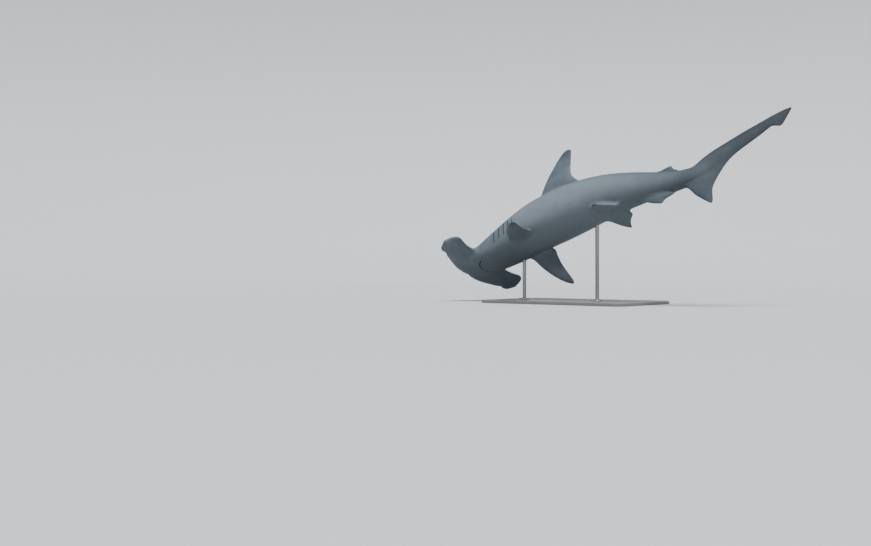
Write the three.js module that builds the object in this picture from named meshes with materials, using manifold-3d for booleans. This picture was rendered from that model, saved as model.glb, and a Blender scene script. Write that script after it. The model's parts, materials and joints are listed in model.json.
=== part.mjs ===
// A scalloped hammerhead shark at life size, held over a flat base by two short
// rods. It swims nose down, banked to its right, with the tail fin bent away.
// Millimetres, +Z up, the shark heads towards -X and shows its left side to -Y.
// The origin is the centre of the base's underside.

import * as THREE from 'three';
import * as BufferGeometryUtils from 'three/addons/utils/BufferGeometryUtils.js';
import Module from 'manifold-3d';

const wasm = await Module();
wasm.setup();

// Main sizes. Every share below is a share of the total length.

const TOTAL_LENGTH = 2600;
const JOINT_GAP = 0.3;
const AROUND = 32;

// Pose of the station where the body is thickest

const ANCHOR_STATION = 0.30;
const ANCHOR = new THREE.Vector3( - 170, 0, 560 );
const NOSE_DOWN = THREE.MathUtils.degToRad( 20.5 );
const BANK = THREE.MathUtils.degToRad( 33 );

// Bends of the backbone, in radians against the anchor station: yaw swings what
// lies behind to the shark's left, pitch lifts it

const YAW = smoothCurve(
	[ 0, 0.06, 0.16, 0.30, 0.45, 0.60, 0.70, 0.80, 1 ],
	[ 0.12, 0.12, - 0.02, 0, 0.07, - 0.13, 0.01, - 0.51, - 0.38 ]
);
const PITCH = smoothCurve(
	[ 0, 0.06, 0.18, 0.30, 0.50, 0.66, 0.70, 0.745, 1 ],
	[ 0.05, 0.05, 0.19, 0, - 0.23, - 0.20, - 0.18, 0.65, 0.66 ]
);

// Half sizes of the body along its length

const TOP = smoothCurve(
	[ 0, 0.03, 0.06, 0.10, 0.14, 0.20, 0.27, 0.33, 0.40, 0.54, 0.66, 0.70, 0.76, 0.86, 0.94, 0.985, 1 ],
	[ 0.002, 0.014, 0.0265, 0.042, 0.056, 0.072, 0.0835, 0.0847, 0.078, 0.0535, 0.0300, 0.0232,
		0.0228, 0.0218, 0.0155, 0.0075, 0.0008 ]
);
const BELLY = smoothCurve(
	[ 0, 0.03, 0.06, 0.10, 0.14, 0.20, 0.27, 0.33, 0.40, 0.47, 0.54, 0.66, 0.70, 0.76, 0.82,
		0.90, 0.930, 0.944, 0.970, 1 ],
	[ 0.002, 0.0125, 0.0235, 0.037, 0.0475, 0.058, 0.064, 0.066, 0.064, 0.057, 0.0475, 0.028, 0.0255,
		0.0325, 0.0186, 0.0130, 0.0108, 0.0250, 0.0150, 0.0008 ]
);
const BREADTH = smoothCurve(
	[ 0, 0.03, 0.06, 0.10, 0.14, 0.20, 0.27, 0.33, 0.40, 0.47, 0.54, 0.60, 0.66, 0.70, 0.725, 0.76,
		0.82, 0.90, 0.985, 1 ],
	[ 0.014, 0.036, 0.0455, 0.0475, 0.0505, 0.0562, 0.0597, 0.0605, 0.0573, 0.0495, 0.039, 0.0288,
		0.0206, 0.0165, 0.0130, 0.0086, 0.0060, 0.0043, 0.0022, 0.0008 ]
);

// Squareness of the section: 2 is an ellipse, more is flatter with tighter sides

const BELLY_SQUARENESS = smoothCurve( [ 0, 0.08, 0.16, 0.35, 0.55, 1 ], [ 3.4, 3.2, 2.7, 2.3, 2, 2 ] );
const TOP_SQUARENESS = smoothCurve( [ 0, 0.08, 0.20, 0.35, 1 ], [ 2.8, 2.6, 2.15, 1.9, 2 ] );

// Share of the tail fin's thickness that its lower web loses at its edge

const WEB_THINNING = smoothCurve( [ 0, 0.70, 0.78, 1 ], [ 0, 0, 0.62, 0.5 ] );

// Where one named length of the body ends and the next begins

const HEAD_END = 0.124;
const GILLS_END = 0.226;
const TRUNK_END = 0.50;
const TAIL_END = 0.70;

// Gill slits

const GILL_STATIONS = [ 0.141, 0.159, 0.1765, 0.193, 0.208 ];
const GILL_HALF_SPREADS = [ 0.36, 0.42, 0.43, 0.36, 0.20 ];
const GILL_ANGLE = 1.52;
const FLAP_RISE = 4.5;
const FLAP_OVERHANG = 4;
const SLIT_DEPTH = 8;
const SLIT_WIDTH = 6;

// The hammer: half outline from the middle outwards, share across and share back

const HAMMER_REACH = 0.129;
const HAMMER_FRONT = smoothCurve(
	[ 0, 0.0145, 0.031, 0.053, 0.0755, 0.093, 0.102, 0.1115, 0.123, HAMMER_REACH ],
	[ - 0.0110, - 0.0147, - 0.0142, - 0.0087, - 0.0002, 0.0075, 0.0142, 0.0128, 0.0195, 0.0365 ]
);
const HAMMER_REAR = smoothCurve(
	[ 0, 0.036, 0.042, 0.048, 0.056, 0.067, 0.082, 0.097, 0.1095, 0.119, 0.126, HAMMER_REACH ],
	[ 0.096, 0.0945, 0.0905, 0.0845, 0.0785, 0.0765, 0.0780, 0.0825, 0.0865, 0.0830, 0.0730, 0.0605 ]
);
const HAMMER_HALF_THICKNESS = smoothCurve(
	[ 0, 0.04, 0.078, 0.102, 0.1145, 0.123, HAMMER_REACH ],
	[ 0.0215, 0.0185, 0.0135, 0.0125, 0.0130, 0.0118, 0.0075 ]
);
const HAMMER_UNDERSIDE = 0.85;

const EYE_STATION = 0.045;
const EYE_RADIUS = 17;
const EYE_PROUD = 8;
const LID_RADIUS = 16.5;
const LID_THICKNESS = 3.2;

const MOUTH_FRONT = 0.056;
const MOUTH_CORNER = 0.094;
const MOUTH_HALF_WIDTH = 0.034;
const MOUTH_CURVE = 2.3;
const MOUTH_OPENING = 6;
const MOUTH_DEPTH = 13;
const LIP_WIDTH = 9;
const LIP_RISE = 3.4;

const NOSTRIL_ACROSS = 0.102;
const NOSTRIL_SIZE = new THREE.Vector3( 9, 15, 5 );
const NOSE_GROOVE_INNER = 0.058;
const NOSE_GROOVE_RADIUS = 3.2;

// Fins. Outlines run from the root, 0, to the tip, 1, as shares of the height:
// lead and trail give how far back each edge lies, in shares of the total length.

const FIRST_DORSAL = {
	station: 0.254,
	base: 0.110,
	height: 0.153,
	thickness: 0.0105,
	lean: - 0.03,
	aim: 0.5,
	lead: smoothCurve(
		[ 0, 0.12, 0.5, 0.75, 0.9, 0.97, 1 ],
		[ 0, 0.0055, 0.0292, 0.0527, 0.0692, 0.0787, 0.0877 ]
	),
	trail: smoothCurve(
		[ 0, 0.03, 0.08, 0.16, 0.3, 0.5, 0.8, 0.94, 0.985, 1 ],
		[ 0.113, 0.135, 0.132, 0.121, 0.111, 0.108, 0.108, 0.1075, 0.1035, 0.0965 ]
	)
};
const SECOND_DORSAL = {
	station: 0.609,
	base: 0.040,
	height: 0.020,
	thickness: 0.0045,
	lean: 0,
	aim: 0.5,
	lead: smoothCurve( [ 0, 0.5, 0.85, 1 ], [ 0, 0.0165, 0.0285, 0.036 ] ),
	trail: smoothCurve(
		[ 0, 0.08, 0.2, 0.32, 0.6, 0.9, 1 ],
		[ 0.042, 0.068, 0.082, 0.060, 0.0445, 0.039, 0.0375 ]
	)
};
const ANAL = {
	station: 0.590,
	base: 0.062,
	height: 0.027,
	thickness: 0.0050,
	lean: 0,
	aim: 0.5,
	lead: smoothCurve( [ 0, 0.5, 0.85, 1 ], [ 0, 0.020, 0.039, 0.051 ] ),
	trail: smoothCurve(
		[ 0, 0.14, 0.30, 0.42, 0.6, 0.9, 1 ],
		[ 0.064, 0.084, 0.092, 0.078, 0.062, 0.055, 0.0530 ]
	)
};
const LOWER_LOBE = {
	station: 0.701,
	base: 0.083,
	height: 0.080,
	thickness: 0.0070,
	lean: 0,
	aim: 0,
	turn: - 0.13,
	lead: smoothCurve( [ 0, 0.4, 0.75, 0.93, 1 ], [ 0, 0.0185, 0.0415, 0.0545, 0.0605 ] ),
	trail: smoothCurve( [ 0, 0.2, 0.4, 0.65, 0.93, 1 ], [ 0.084, 0.0680, 0.0655, 0.0650, 0.0657, 0.0632 ] )
};
const PECTORAL = {
	station: 0.192,
	base: 0.062,
	height: 0.131,
	thickness: 0.0095,
	side: 0.80,
	drop: 0.60,
	twist: { left: 0.27, right: 0.03 },
	droop: { left: 0.49, right: 1.16 },
	lead: smoothCurve( [ 0, 0.28, 0.55, 0.8, 0.94, 1 ], [ 0, 0.0155, 0.0360, 0.0605, 0.0787, 0.0895 ] ),
	trail: smoothCurve(
		[ 0, 0.045, 0.10, 0.22, 0.42, 0.7, 0.9, 0.975, 1 ],
		[ 0.063, 0.085, 0.082, 0.076, 0.0775, 0.0862, 0.0935, 0.0950, 0.0922 ]
	)
};
const PELVIC = {
	station: 0.467,
	base: 0.062,
	height: 0.047,
	thickness: 0.0055,
	side: 0.55,
	drop: 0.80,
	twist: { left: 0.15, right: - 0.10 },
	droop: { left: 0.45, right: 0.18 },
	lead: smoothCurve( [ 0, 0.42, 0.8, 1 ], [ 0, 0.015, 0.0315, 0.0435 ] ),
	trail: smoothCurve(
		[ 0, 0.08, 0.2, 0.45, 0.75, 0.95, 1 ],
		[ 0.073, 0.088, 0.078, 0.0600, 0.0505, 0.0470, 0.0452 ]
	)
};

// Stand

const BASE_LENGTH = 1100;
const BASE_WIDTH = 700;
const BASE_HEIGHT = 20;
const BASE_CORNER = 90;
const BASE_EDGE = 3;
const ROD_RADIUS = 13;
const ROD_STATIONS = { front: 0.208, rear: 0.45 };
const FOOT_RADIUS = 46;
const FOOT_HEIGHT = 8;

// A smooth curve through a few values, which never swings past them

function smoothCurve( at, values ) {

	const last = at.length - 1;
	const steps = [];
	for ( let i = 0; i < last; i ++ ) {

		steps.push( ( values[ i + 1 ] - values[ i ] ) / ( at[ i + 1 ] - at[ i ] ) );

	}

	const slopes = at.map( ( _, i ) => {

		if ( i === 0 ) return steps[ 0 ];
		if ( i === last ) return steps[ last - 1 ];
		const before = steps[ i - 1 ];
		const after = steps[ i ];
		return before * after <= 0 ? 0 : 2 * before * after / ( before + after );

	} );

	return ( x ) => {

		const clamped = Math.min( Math.max( x, at[ 0 ] ), at[ last ] );
		let i = 0;
		while ( i < last - 1 && clamped > at[ i + 1 ] ) i ++;
		const width = at[ i + 1 ] - at[ i ];
		const t = ( clamped - at[ i ] ) / width;
		const rise = values[ i + 1 ] - values[ i ];
		const bend = slopes[ i ] * width - rise;
		const unbend = rise - slopes[ i + 1 ] * width;
		return values[ i ] + rise * t + t * ( 1 - t ) * ( bend * ( 1 - t ) + unbend * t );

	};

}

function smoothStep( low, high, x ) {

	return THREE.MathUtils.smoothstep( x, low, high );

}

function spread( from, to, count ) {

	return Array.from( { length: count + 1 }, ( _, i ) => from + ( to - from ) * i / count );

}

// Axes of the shark at the anchor: back along the body, left, and up

const plumbBack = new THREE.Vector3( Math.cos( NOSE_DOWN ), 0, Math.sin( NOSE_DOWN ) );
const plumbUp = new THREE.Vector3( - Math.sin( NOSE_DOWN ), 0, Math.cos( NOSE_DOWN ) );
const plumbLeft = new THREE.Vector3( 0, - 1, 0 );
const anchorAxes = new THREE.Matrix4().makeBasis(
	plumbBack,
	plumbLeft.clone().multiplyScalar( Math.cos( BANK ) ).addScaledVector( plumbUp, Math.sin( BANK ) ),
	plumbUp.clone().multiplyScalar( Math.cos( BANK ) ).addScaledVector( plumbLeft, - Math.sin( BANK ) )
);

function spineAxes( station ) {

	const yaw = YAW( station ) - YAW( ANCHOR_STATION );
	const pitch = PITCH( station ) - PITCH( ANCHOR_STATION );
	const back = new THREE.Vector3(
		Math.cos( pitch ) * Math.cos( yaw ),
		Math.cos( pitch ) * Math.sin( yaw ),
		Math.sin( pitch )
	);
	const left = new THREE.Vector3( - Math.sin( yaw ), Math.cos( yaw ), 0 );
	const up = new THREE.Vector3().crossVectors( back, left );
	return [ back, left, up ].map( ( axis ) => axis.transformDirection( anchorAxes ) );

}

// The backbone's line, added up in short steps from the anchor

const SPINE_STEPS = 400;
const spinePoints = [ new THREE.Vector3() ];
for ( let i = 0; i < SPINE_STEPS; i ++ ) {

	const [ back ] = spineAxes( ( i + 0.5 ) / SPINE_STEPS );
	spinePoints.push( spinePoints[ i ].clone().addScaledVector( back, TOTAL_LENGTH / SPINE_STEPS ) );

}

const spineShift = ANCHOR.clone().sub( spinePoints[ Math.round( ANCHOR_STATION * SPINE_STEPS ) ] );
spinePoints.forEach( ( point ) => point.add( spineShift ) );

function spineFrame( station ) {

	const [ back, left, up ] = spineAxes( station );
	const index = Math.min( Math.max( Math.floor( station * SPINE_STEPS ), 0 ), SPINE_STEPS - 1 );
	const centre = spinePoints[ index ].clone()
		.lerp( spinePoints[ index + 1 ], station * SPINE_STEPS - index );
	return { centre, back, left, up };

}

// A point given in the shark's own directions at one station, in millimetres

function fromFrame( frame, back, left, up ) {

	return frame.centre.clone()
		.addScaledVector( frame.back, back )
		.addScaledVector( frame.left, left )
		.addScaledVector( frame.up, up );

}

// How the skin stands out and lies back at a gill slit

const gillRings = [];
GILL_STATIONS.forEach( ( station, k ) => {

	const before = k === 0 ? station - 0.014 : GILL_STATIONS[ k - 1 ] + SLIT_WIDTH / TOTAL_LENGTH;
	const half = GILL_HALF_SPREADS[ k ];
	gillRings.push(
		{ station: before + ( station - before ) * 0.5, out: FLAP_RISE * 0.35, back: 0, half },
		{ station, out: FLAP_RISE, back: FLAP_OVERHANG, half },
		{ station: station + 1.5 / TOTAL_LENGTH, out: - SLIT_DEPTH, back: - 1.5, half },
		{ station: station + SLIT_WIDTH / TOTAL_LENGTH, out: 0.6, back: 0, half }
	);

} );

function gillRelief( station, angle ) {

	const ring = gillRings.find( ( one ) => Math.abs( one.station - station ) < 1e-6 );
	if ( ! ring ) return { out: 0, back: 0 };
	const away = Math.abs( Math.abs( angle ) - GILL_ANGLE );
	const share = 1 - smoothStep( ring.half * 0.75, ring.half * 1.15, away );
	return { out: ring.out * share, back: ring.back * share };

}

// A point on the body's skin: angle 0 is the back's ridge, a quarter turn the left
// side, half a turn the belly

function bodyPoint( station, angle, grow = 0 ) {

	const wrapped = Math.atan2( Math.sin( angle ), Math.cos( angle ) );
	const side = Math.sin( wrapped );
	const rise = Math.cos( wrapped );
	const above = rise > 0;
	const power = 2 / ( above ? TOP_SQUARENESS : BELLY_SQUARENESS )( station );
	const height = ( above ? TOP : BELLY )( station ) * TOTAL_LENGTH + grow;
	const thinning = above ? 0 : WEB_THINNING( station ) * Math.abs( rise ) ** 0.7;
	const breadth = BREADTH( station ) * TOTAL_LENGTH * ( 1 - thinning ) + grow;
	const relief = gillRelief( station, wrapped );
	const acrossShare = Math.sign( side ) * Math.abs( side ) ** power;
	const upShare = Math.sign( rise ) * Math.abs( rise ) ** power;
	return fromFrame(
		spineFrame( station ),
		relief.back,
		acrossShare * ( breadth + relief.out ),
		upShare * ( height + relief.out )
	);

}

// Geometry helpers

function withPoints( geometry, move ) {

	geometry.deleteAttribute( 'normal' );
	geometry.deleteAttribute( 'uv' );
	const position = geometry.attributes.position;
	const point = new THREE.Vector3();
	for ( let i = 0; i < position.count; i ++ ) {

		point.fromBufferAttribute( position, i );
		const moved = move( point );
		position.setXYZ( i, moved.x, moved.y, moved.z );

	}

	return BufferGeometryUtils.mergeVertices( geometry, 1e-3 );

}

// A closed loft: rings of points are placed one after another, and both ends are
// closed flat. place( ring number, angle ) gives a point.

function loft( around, ringCount, place ) {

	const geometry = new THREE.CylinderGeometry( 1, 1, 1, around, ringCount - 1 );
	geometry.deleteAttribute( 'normal' );
	geometry.deleteAttribute( 'uv' );
	const merged = BufferGeometryUtils.mergeVertices( geometry, 1e-4 );
	return withPoints( merged, ( point ) => {

		const ring = Math.round( ( 0.5 - point.y ) * ( ringCount - 1 ) );
		if ( Math.hypot( point.x, point.z ) > 0.5 ) return place( ring, Math.atan2( point.x, point.z ) );
		const middle = new THREE.Vector3();
		for ( let i = 0; i < around; i ++ ) {

			middle.addScaledVector( place( ring, 2 * Math.PI * i / around ), 1 / around );

		}

		return middle;

	} );

}

// A thin closed blade with both faces split into triangles alike. place( chord,
// span, side ) gives a point, with chord and span from 0 to 1.

function blade( chordSteps, spanSteps, place ) {

	const faces = [ 1, - 1 ].map( ( side ) => {

		const sheet = new THREE.PlaneGeometry( 1, 1, chordSteps, spanSteps );
		if ( side < 0 ) sheet.index.array.reverse();
		return withPoints( sheet, ( point ) => {

			const chord = Math.round( ( point.x + 0.5 ) * chordSteps ) / chordSteps;
			const span = Math.round( ( point.y + 0.5 ) * spanSteps ) / spanSteps;
			const rim = chord === 0 || chord === 1 || span === 0 || span === 1;
			return place( chord, span, rim ? 0 : side );

		} );

	} );
	return BufferGeometryUtils.mergeVertices( BufferGeometryUtils.mergeGeometries( faces ), 1e-3 );

}

function solid( geometry ) {

	const made = new wasm.Manifold( new wasm.Mesh( {
		numProp: 3,
		vertProperties: new Float32Array( geometry.attributes.position.array ),
		triVerts: new Uint32Array( geometry.index.array )
	} ) );
	if ( made.volume() > 0 ) return made;
	geometry.index.array.reverse();
	return solid( geometry );

}

function closed( geometry ) {

	const bare = geometry.clone();
	bare.deleteAttribute( 'normal' );
	bare.deleteAttribute( 'uv' );
	return solid( BufferGeometryUtils.mergeVertices( bare, 1e-3 ) );

}

// The largest closed surface of a solid, as a geometry

function geometryOf( made ) {

	const whole = made.decompose().sort( ( a, b ) => b.volume() - a.volume() )[ 0 ];
	const mesh = whole.getMesh();
	const geometry = new THREE.BufferGeometry();
	const points = new THREE.BufferAttribute( new Float32Array( mesh.vertProperties ), 3 );
	geometry.setAttribute( 'position', points );
	geometry.setIndex( new THREE.BufferAttribute( new Uint32Array( mesh.triVerts ), 1 ) );
	geometry.computeVertexNormals();
	return geometry;

}

// Lengths of the body between the thin cuts

const halfGap = JOINT_GAP / 2 / TOTAL_LENGTH;
const gillStations = [
	HEAD_END + halfGap,
	...gillRings.map( ( ring ) => ring.station ),
	GILLS_END - halfGap
];
const lengths = {
	head: spread( 0.012, HEAD_END - halfGap, 13 ),
	gill_region: gillStations,
	trunk: spread( GILLS_END + halfGap, TRUNK_END - halfGap, 18 ),
	tail: spread( TRUNK_END + halfGap, TAIL_END - halfGap, 13 ),
	caudal_upper: [
		...spread( TAIL_END + halfGap, 0.80, 9 ),
		...spread( 0.82, 0.91, 5 ),
		0.922, 0.930, 0.935, 0.939, 0.944, 0.950, 0.960, 0.972, 0.984, 0.994, 1
	]
};

function bodyLength( stations, grow = 0 ) {

	return loft( AROUND, stations.length, ( ring, angle ) => bodyPoint( stations[ ring ], angle, grow ) );

}

const grownBody = closed( bodyLength( Object.values( lengths ).flat(), JOINT_GAP ) );

// Head

function hammerPoint( across, angle ) {

	const size = Math.abs( across );
	const front = HAMMER_FRONT( size );
	const rear = HAMMER_REAR( size );
	const chord = ( 1 - Math.sin( angle ) ) / 2;
	const profile = Math.abs( Math.cos( angle ) ) ** 0.9 * ( 1 - 0.28 * chord );
	const half = HAMMER_HALF_THICKNESS( size ) * profile;
	const up = Math.cos( angle ) > 0 ? half : - half * HAMMER_UNDERSIDE;
	return [ ( front + ( rear - front ) * chord ) * TOTAL_LENGTH, across * TOTAL_LENGTH, up * TOTAL_LENGTH ];

}

const headFrame = spineFrame( 0.03 );
headFrame.centre.addScaledVector( headFrame.back, - 0.03 * TOTAL_LENGTH );

function onHead( back, left, up ) {

	return fromFrame( headFrame, back, left, up );

}

const hammerHalf = [ 0.007, 0.016, 0.028, 0.040, 0.050, 0.060, 0.071, 0.082, 0.091, 0.097, 0.102, 0.107,
	0.113, 0.119, 0.125, HAMMER_REACH ];
const hammerAcross = [ ...hammerHalf.map( ( x ) => - x ).reverse(), 0, ...hammerHalf ];
const hammer = closed( loft( 20, hammerAcross.length, ( ring, angle ) =>
	onHead( ...hammerPoint( hammerAcross[ ring ], angle ) ) ) );

// The line of the mouth, as a point on the head's underside. share runs from one
// corner, -1, to the other, 1.

function mouthLine( share ) {

	const back = MOUTH_FRONT + ( MOUTH_CORNER - MOUTH_FRONT ) * Math.abs( share ) ** MOUTH_CURVE;
	const across = share * MOUTH_HALF_WIDTH;
	const sideShare = Math.min( Math.abs( across ) / BREADTH( back ), 0.98 );
	const squareness = BELLY_SQUARENESS( back );
	const flat = ( 1 - sideShare ** squareness ) ** ( 1 / squareness );
	return new THREE.Vector3( back, across, - BELLY( back ) * flat ).multiplyScalar( TOTAL_LENGTH );

}

// A band along the mouth: its section's corners are given behind and below the line

const MOUTH_STEPS = 16;

function mouthBand( sectionSides, section ) {

	return closed( loft( sectionSides, MOUTH_STEPS + 1, ( ring, angle ) => {

		const share = 2 * ring / MOUTH_STEPS - 1;
		const line = mouthLine( share );
		const ahead = mouthLine( Math.min( share + 0.01, 1 ) ).sub( mouthLine( Math.max( share - 0.01, - 1 ) ) );
		const across = new THREE.Vector2( - ahead.y, ahead.x ).normalize();
		const [ behind, below ] = section( angle, Math.sqrt( Math.max( 1 - share ** 4, 0.02 ) ) );
		return onHead( line.x - across.x * behind, line.y - across.y * behind, line.z - below );

	} ) );

}

const mouthSlit = mouthBand( 6, ( angle, size ) => [
	( Math.sin( angle ) * MOUTH_OPENING / 2 ) * size - Math.max( 0, Math.cos( angle ) ) * 4,
	- Math.cos( angle ) * ( Math.cos( angle ) > 0 ? MOUTH_DEPTH * size : 14 )
] );
const lips = [ 1, - 1 ].map( ( side ) => mouthBand( 6, ( angle, size ) => [
	side * ( MOUTH_OPENING * 0.5 + LIP_WIDTH * 0.5 ) + Math.sin( angle ) * LIP_WIDTH * 0.62 * size,
	- Math.cos( angle ) * ( Math.cos( angle ) > 0 ? 5 : LIP_RISE * size )
] ) );

// Nostrils and the grooves that run inwards from them along the front edge

function frontEdge( across, angle = Math.PI / 2 ) {

	return onHead( ...hammerPoint( across, angle ) );

}

function nostril( side ) {

	const centre = frontEdge( side * NOSTRIL_ACROSS, Math.PI * 0.62 );
	return closed( withPoints( new THREE.SphereGeometry( 1, 14, 8 ), ( point ) => centre.clone()
		.addScaledVector( headFrame.back, point.x * NOSTRIL_SIZE.x )
		.addScaledVector( headFrame.left, point.y * NOSTRIL_SIZE.y )
		.addScaledVector( headFrame.up, point.z * NOSTRIL_SIZE.z ) ) );

}

function noseGroove( side ) {

	const steps = 10;
	return closed( loft( 6, steps + 1, ( ring, angle ) => {

		const across = NOSE_GROOVE_INNER + ( NOSTRIL_ACROSS - NOSE_GROOVE_INNER ) * ring / steps;
		const size = NOSE_GROOVE_RADIUS * ( 0.35 + 0.65 * ring / steps );
		return frontEdge( side * across, Math.PI * 0.60 )
			.addScaledVector( headFrame.back, Math.sin( angle ) * size )
			.addScaledVector( headFrame.up, Math.cos( angle ) * size );

	} ) );

}

// Eyes, set in the ends of the hammer

const eyeAcross = HAMMER_REACH * TOTAL_LENGTH + EYE_PROUD - EYE_RADIUS;

function eye( side, grow = 0 ) {

	const centre = onHead( EYE_STATION * TOTAL_LENGTH, side * eyeAcross, 0 );
	const ball = new THREE.SphereGeometry( EYE_RADIUS + grow, 18, 10 );
	return closed( ball.translate( centre.x, centre.y, centre.z ) );

}

function lid( side ) {

	const ring = new THREE.TorusGeometry( LID_RADIUS, LID_THICKNESS, 6, 18 );
	return closed( withPoints( ring, ( point ) => onHead(
		EYE_STATION * TOTAL_LENGTH + point.x,
		side * ( HAMMER_REACH * TOTAL_LENGTH + point.z - 0.6 ),
		point.y
	) ) );

}

let head = closed( bodyLength( lengths.head ) ).add( hammer );
lips.forEach( ( lip ) => ( head = head.add( lip ) ) );
head = head.subtract( mouthSlit );
[ 1, - 1 ].forEach( ( side ) => {

	head = head.add( lid( side ) )
		.subtract( eye( side, JOINT_GAP ) )
		.subtract( nostril( side ) )
		.subtract( noseGroove( side ) );

} );

// Fins

const CHORD_STEPS = 10;

function chordShare( step ) {

	return ( 1 - Math.cos( Math.PI * step ) ) / 2;

}

function edgeFullness( chord ) {

	return 2.26 * chord ** 0.5 * ( 1 - chord ) ** 0.7;

}

// sink is how far the root reaches into the body, as a share of the height.
// rootAt( back, span ) gives the root line, outwards the direction in which the fin
// grows and thickwards the one across its faces.

function finBlade( shape, spanSteps, sink, rootAt, outwards, thickwards ) {

	const flare = ( span ) => 1 + 0.55 * Math.exp( - Math.max( span, 0 ) / 0.07 );
	return closed( blade( CHORD_STEPS, spanSteps, ( chordStep, spanStep, side ) => {

		const span = - sink + ( 1 + sink ) * Math.sin( spanStep * Math.PI / 2 ) ** 1.15;
		const chord = chordShare( chordStep );
		const lead = shape.lead( span );
		const trail = shape.trail( span );
		const taper = Math.sqrt( Math.max( 1 - Math.max( span, 0 ) ** 1.6, 0.01 ) );
		const half = shape.thickness * flare( span ) * taper * edgeFullness( chord );
		return rootAt( lead + ( trail - lead ) * chord, span )
			.addScaledVector( outwards, span * shape.height * TOTAL_LENGTH )
			.addScaledVector( thickwards, side * half * TOTAL_LENGTH );

	} ) ).subtract( grownBody );

}

// A fin on the back's ridge, up = 1, or under the belly, up = -1. Its root follows
// the bent body and its outer part is flat.

const ROOT_BLEND = 0.4;

function medianFin( shape, up, spanSteps, sink ) {

	const ridge = up > 0 ? 0 : Math.PI;
	const origin = bodyPoint( shape.station, ridge );
	const aim = spineFrame( shape.station + shape.base * shape.aim );
	const chordwise = shape.turn === undefined
		? bodyPoint( shape.station + shape.base, ridge ).sub( origin ).normalize()
		: aim.back.clone().multiplyScalar( Math.cos( shape.turn ) )
			.addScaledVector( aim.up, up * Math.sin( shape.turn ) );
	const level = aim.up.clone().addScaledVector( chordwise, - aim.up.dot( chordwise ) ).normalize();
	const outwards = level.clone().multiplyScalar( up * Math.cos( shape.lean ) )
		.addScaledVector( aim.left, - Math.sin( shape.lean ) );
	const thickwards = new THREE.Vector3().crossVectors( outwards, chordwise ).normalize();
	return finBlade(
		shape, spanSteps, sink,
		( back, span ) => bodyPoint( shape.station + back, ridge ).lerp(
			origin.clone().addScaledVector( chordwise, back * TOTAL_LENGTH ),
			smoothStep( 0, ROOT_BLEND, span )
		),
		outwards, thickwards
	);

}

// A fin of a pair, on the left or right side

function pairedFin( shape, sideName, spanSteps, sink ) {

	const side = sideName === 'left' ? 1 : - 1;
	const droop = shape.droop[ sideName ];
	const twist = shape.twist[ sideName ];
	const front = spineFrame( shape.station );
	const middle = spineFrame( shape.station + shape.base / 2 );
	const origin = fromFrame(
		front,
		0,
		side * shape.side * BREADTH( shape.station ) * TOTAL_LENGTH,
		- shape.drop * BELLY( shape.station ) * TOTAL_LENGTH
	);
	const outwards = middle.left.clone().multiplyScalar( side * Math.cos( droop ) )
		.addScaledVector( middle.up, - Math.sin( droop ) );
	const upwards = middle.left.clone().multiplyScalar( side * Math.sin( droop ) )
		.addScaledVector( middle.up, Math.cos( droop ) );
	const chordwise = middle.back.clone().multiplyScalar( Math.cos( twist ) )
		.addScaledVector( upwards, - Math.sin( twist ) );
	const thickwards = new THREE.Vector3().crossVectors( outwards, chordwise ).normalize();
	return finBlade(
		shape, spanSteps, sink,
		( back ) => origin.clone().addScaledVector( chordwise, back * TOTAL_LENGTH ),
		outwards, thickwards
	);

}

// Stand

function roundedPlate() {

	const x = BASE_LENGTH / 2 - BASE_EDGE;
	const y = BASE_WIDTH / 2 - BASE_EDGE;
	const outline = new THREE.Shape()
		.moveTo( - x + BASE_CORNER, - y )
		.lineTo( x - BASE_CORNER, - y )
		.absarc( x - BASE_CORNER, - y + BASE_CORNER, BASE_CORNER, - Math.PI / 2, 0 )
		.lineTo( x, y - BASE_CORNER )
		.absarc( x - BASE_CORNER, y - BASE_CORNER, BASE_CORNER, 0, Math.PI / 2 )
		.lineTo( - x + BASE_CORNER, y )
		.absarc( - x + BASE_CORNER, y - BASE_CORNER, BASE_CORNER, Math.PI / 2, Math.PI )
		.lineTo( - x, - y + BASE_CORNER )
		.absarc( - x + BASE_CORNER, - y + BASE_CORNER, BASE_CORNER, Math.PI, Math.PI * 1.5 );
	const plate = new THREE.ExtrudeGeometry( outline, {
		depth: BASE_HEIGHT - 2 * BASE_EDGE,
		curveSegments: 8,
		bevelThickness: BASE_EDGE,
		bevelSize: BASE_EDGE,
		bevelSegments: 1
	} );
	return closed( plate.translate( 0, 0, BASE_EDGE ) );

}

// A rod with a foot turned in one piece, upright under a station of the backbone

function rod( station ) {

	const { centre } = spineFrame( station );
	const foot = BASE_HEIGHT + JOINT_GAP;
	const profile = [
		new THREE.Vector2( 0, foot ),
		new THREE.Vector2( FOOT_RADIUS, foot ),
		new THREE.Vector2( FOOT_RADIUS, foot + FOOT_HEIGHT * 0.7 ),
		new THREE.Vector2( FOOT_RADIUS - 3, foot + FOOT_HEIGHT ),
		new THREE.Vector2( ROD_RADIUS + 5, foot + FOOT_HEIGHT ),
		new THREE.Vector2( ROD_RADIUS, foot + FOOT_HEIGHT + 6 ),
		new THREE.Vector2( ROD_RADIUS, centre.z ),
		new THREE.Vector2( 0, centre.z )
	];
	const turned = new THREE.LatheGeometry( profile, 24 ).rotateX( Math.PI / 2 );
	return closed( turned.translate( centre.x, centre.y, 0 ) ).subtract( grownBody );

}

// Materials

const SKIN = { color: 0x4d5e66, roughness: 0.5, metalness: 0 };
const FIN = { color: 0x46565e, roughness: 0.5, metalness: 0 };
const EYE = { color: 0x8a7434, roughness: 0.12, metalness: 0 };
const BASE = { color: 0xb9b6ae, roughness: 0.55, metalness: 0 };
const STEEL = { color: 0x9a9c9e, roughness: 0.32, metalness: 0.9 };

const group = new THREE.Group();

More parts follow.
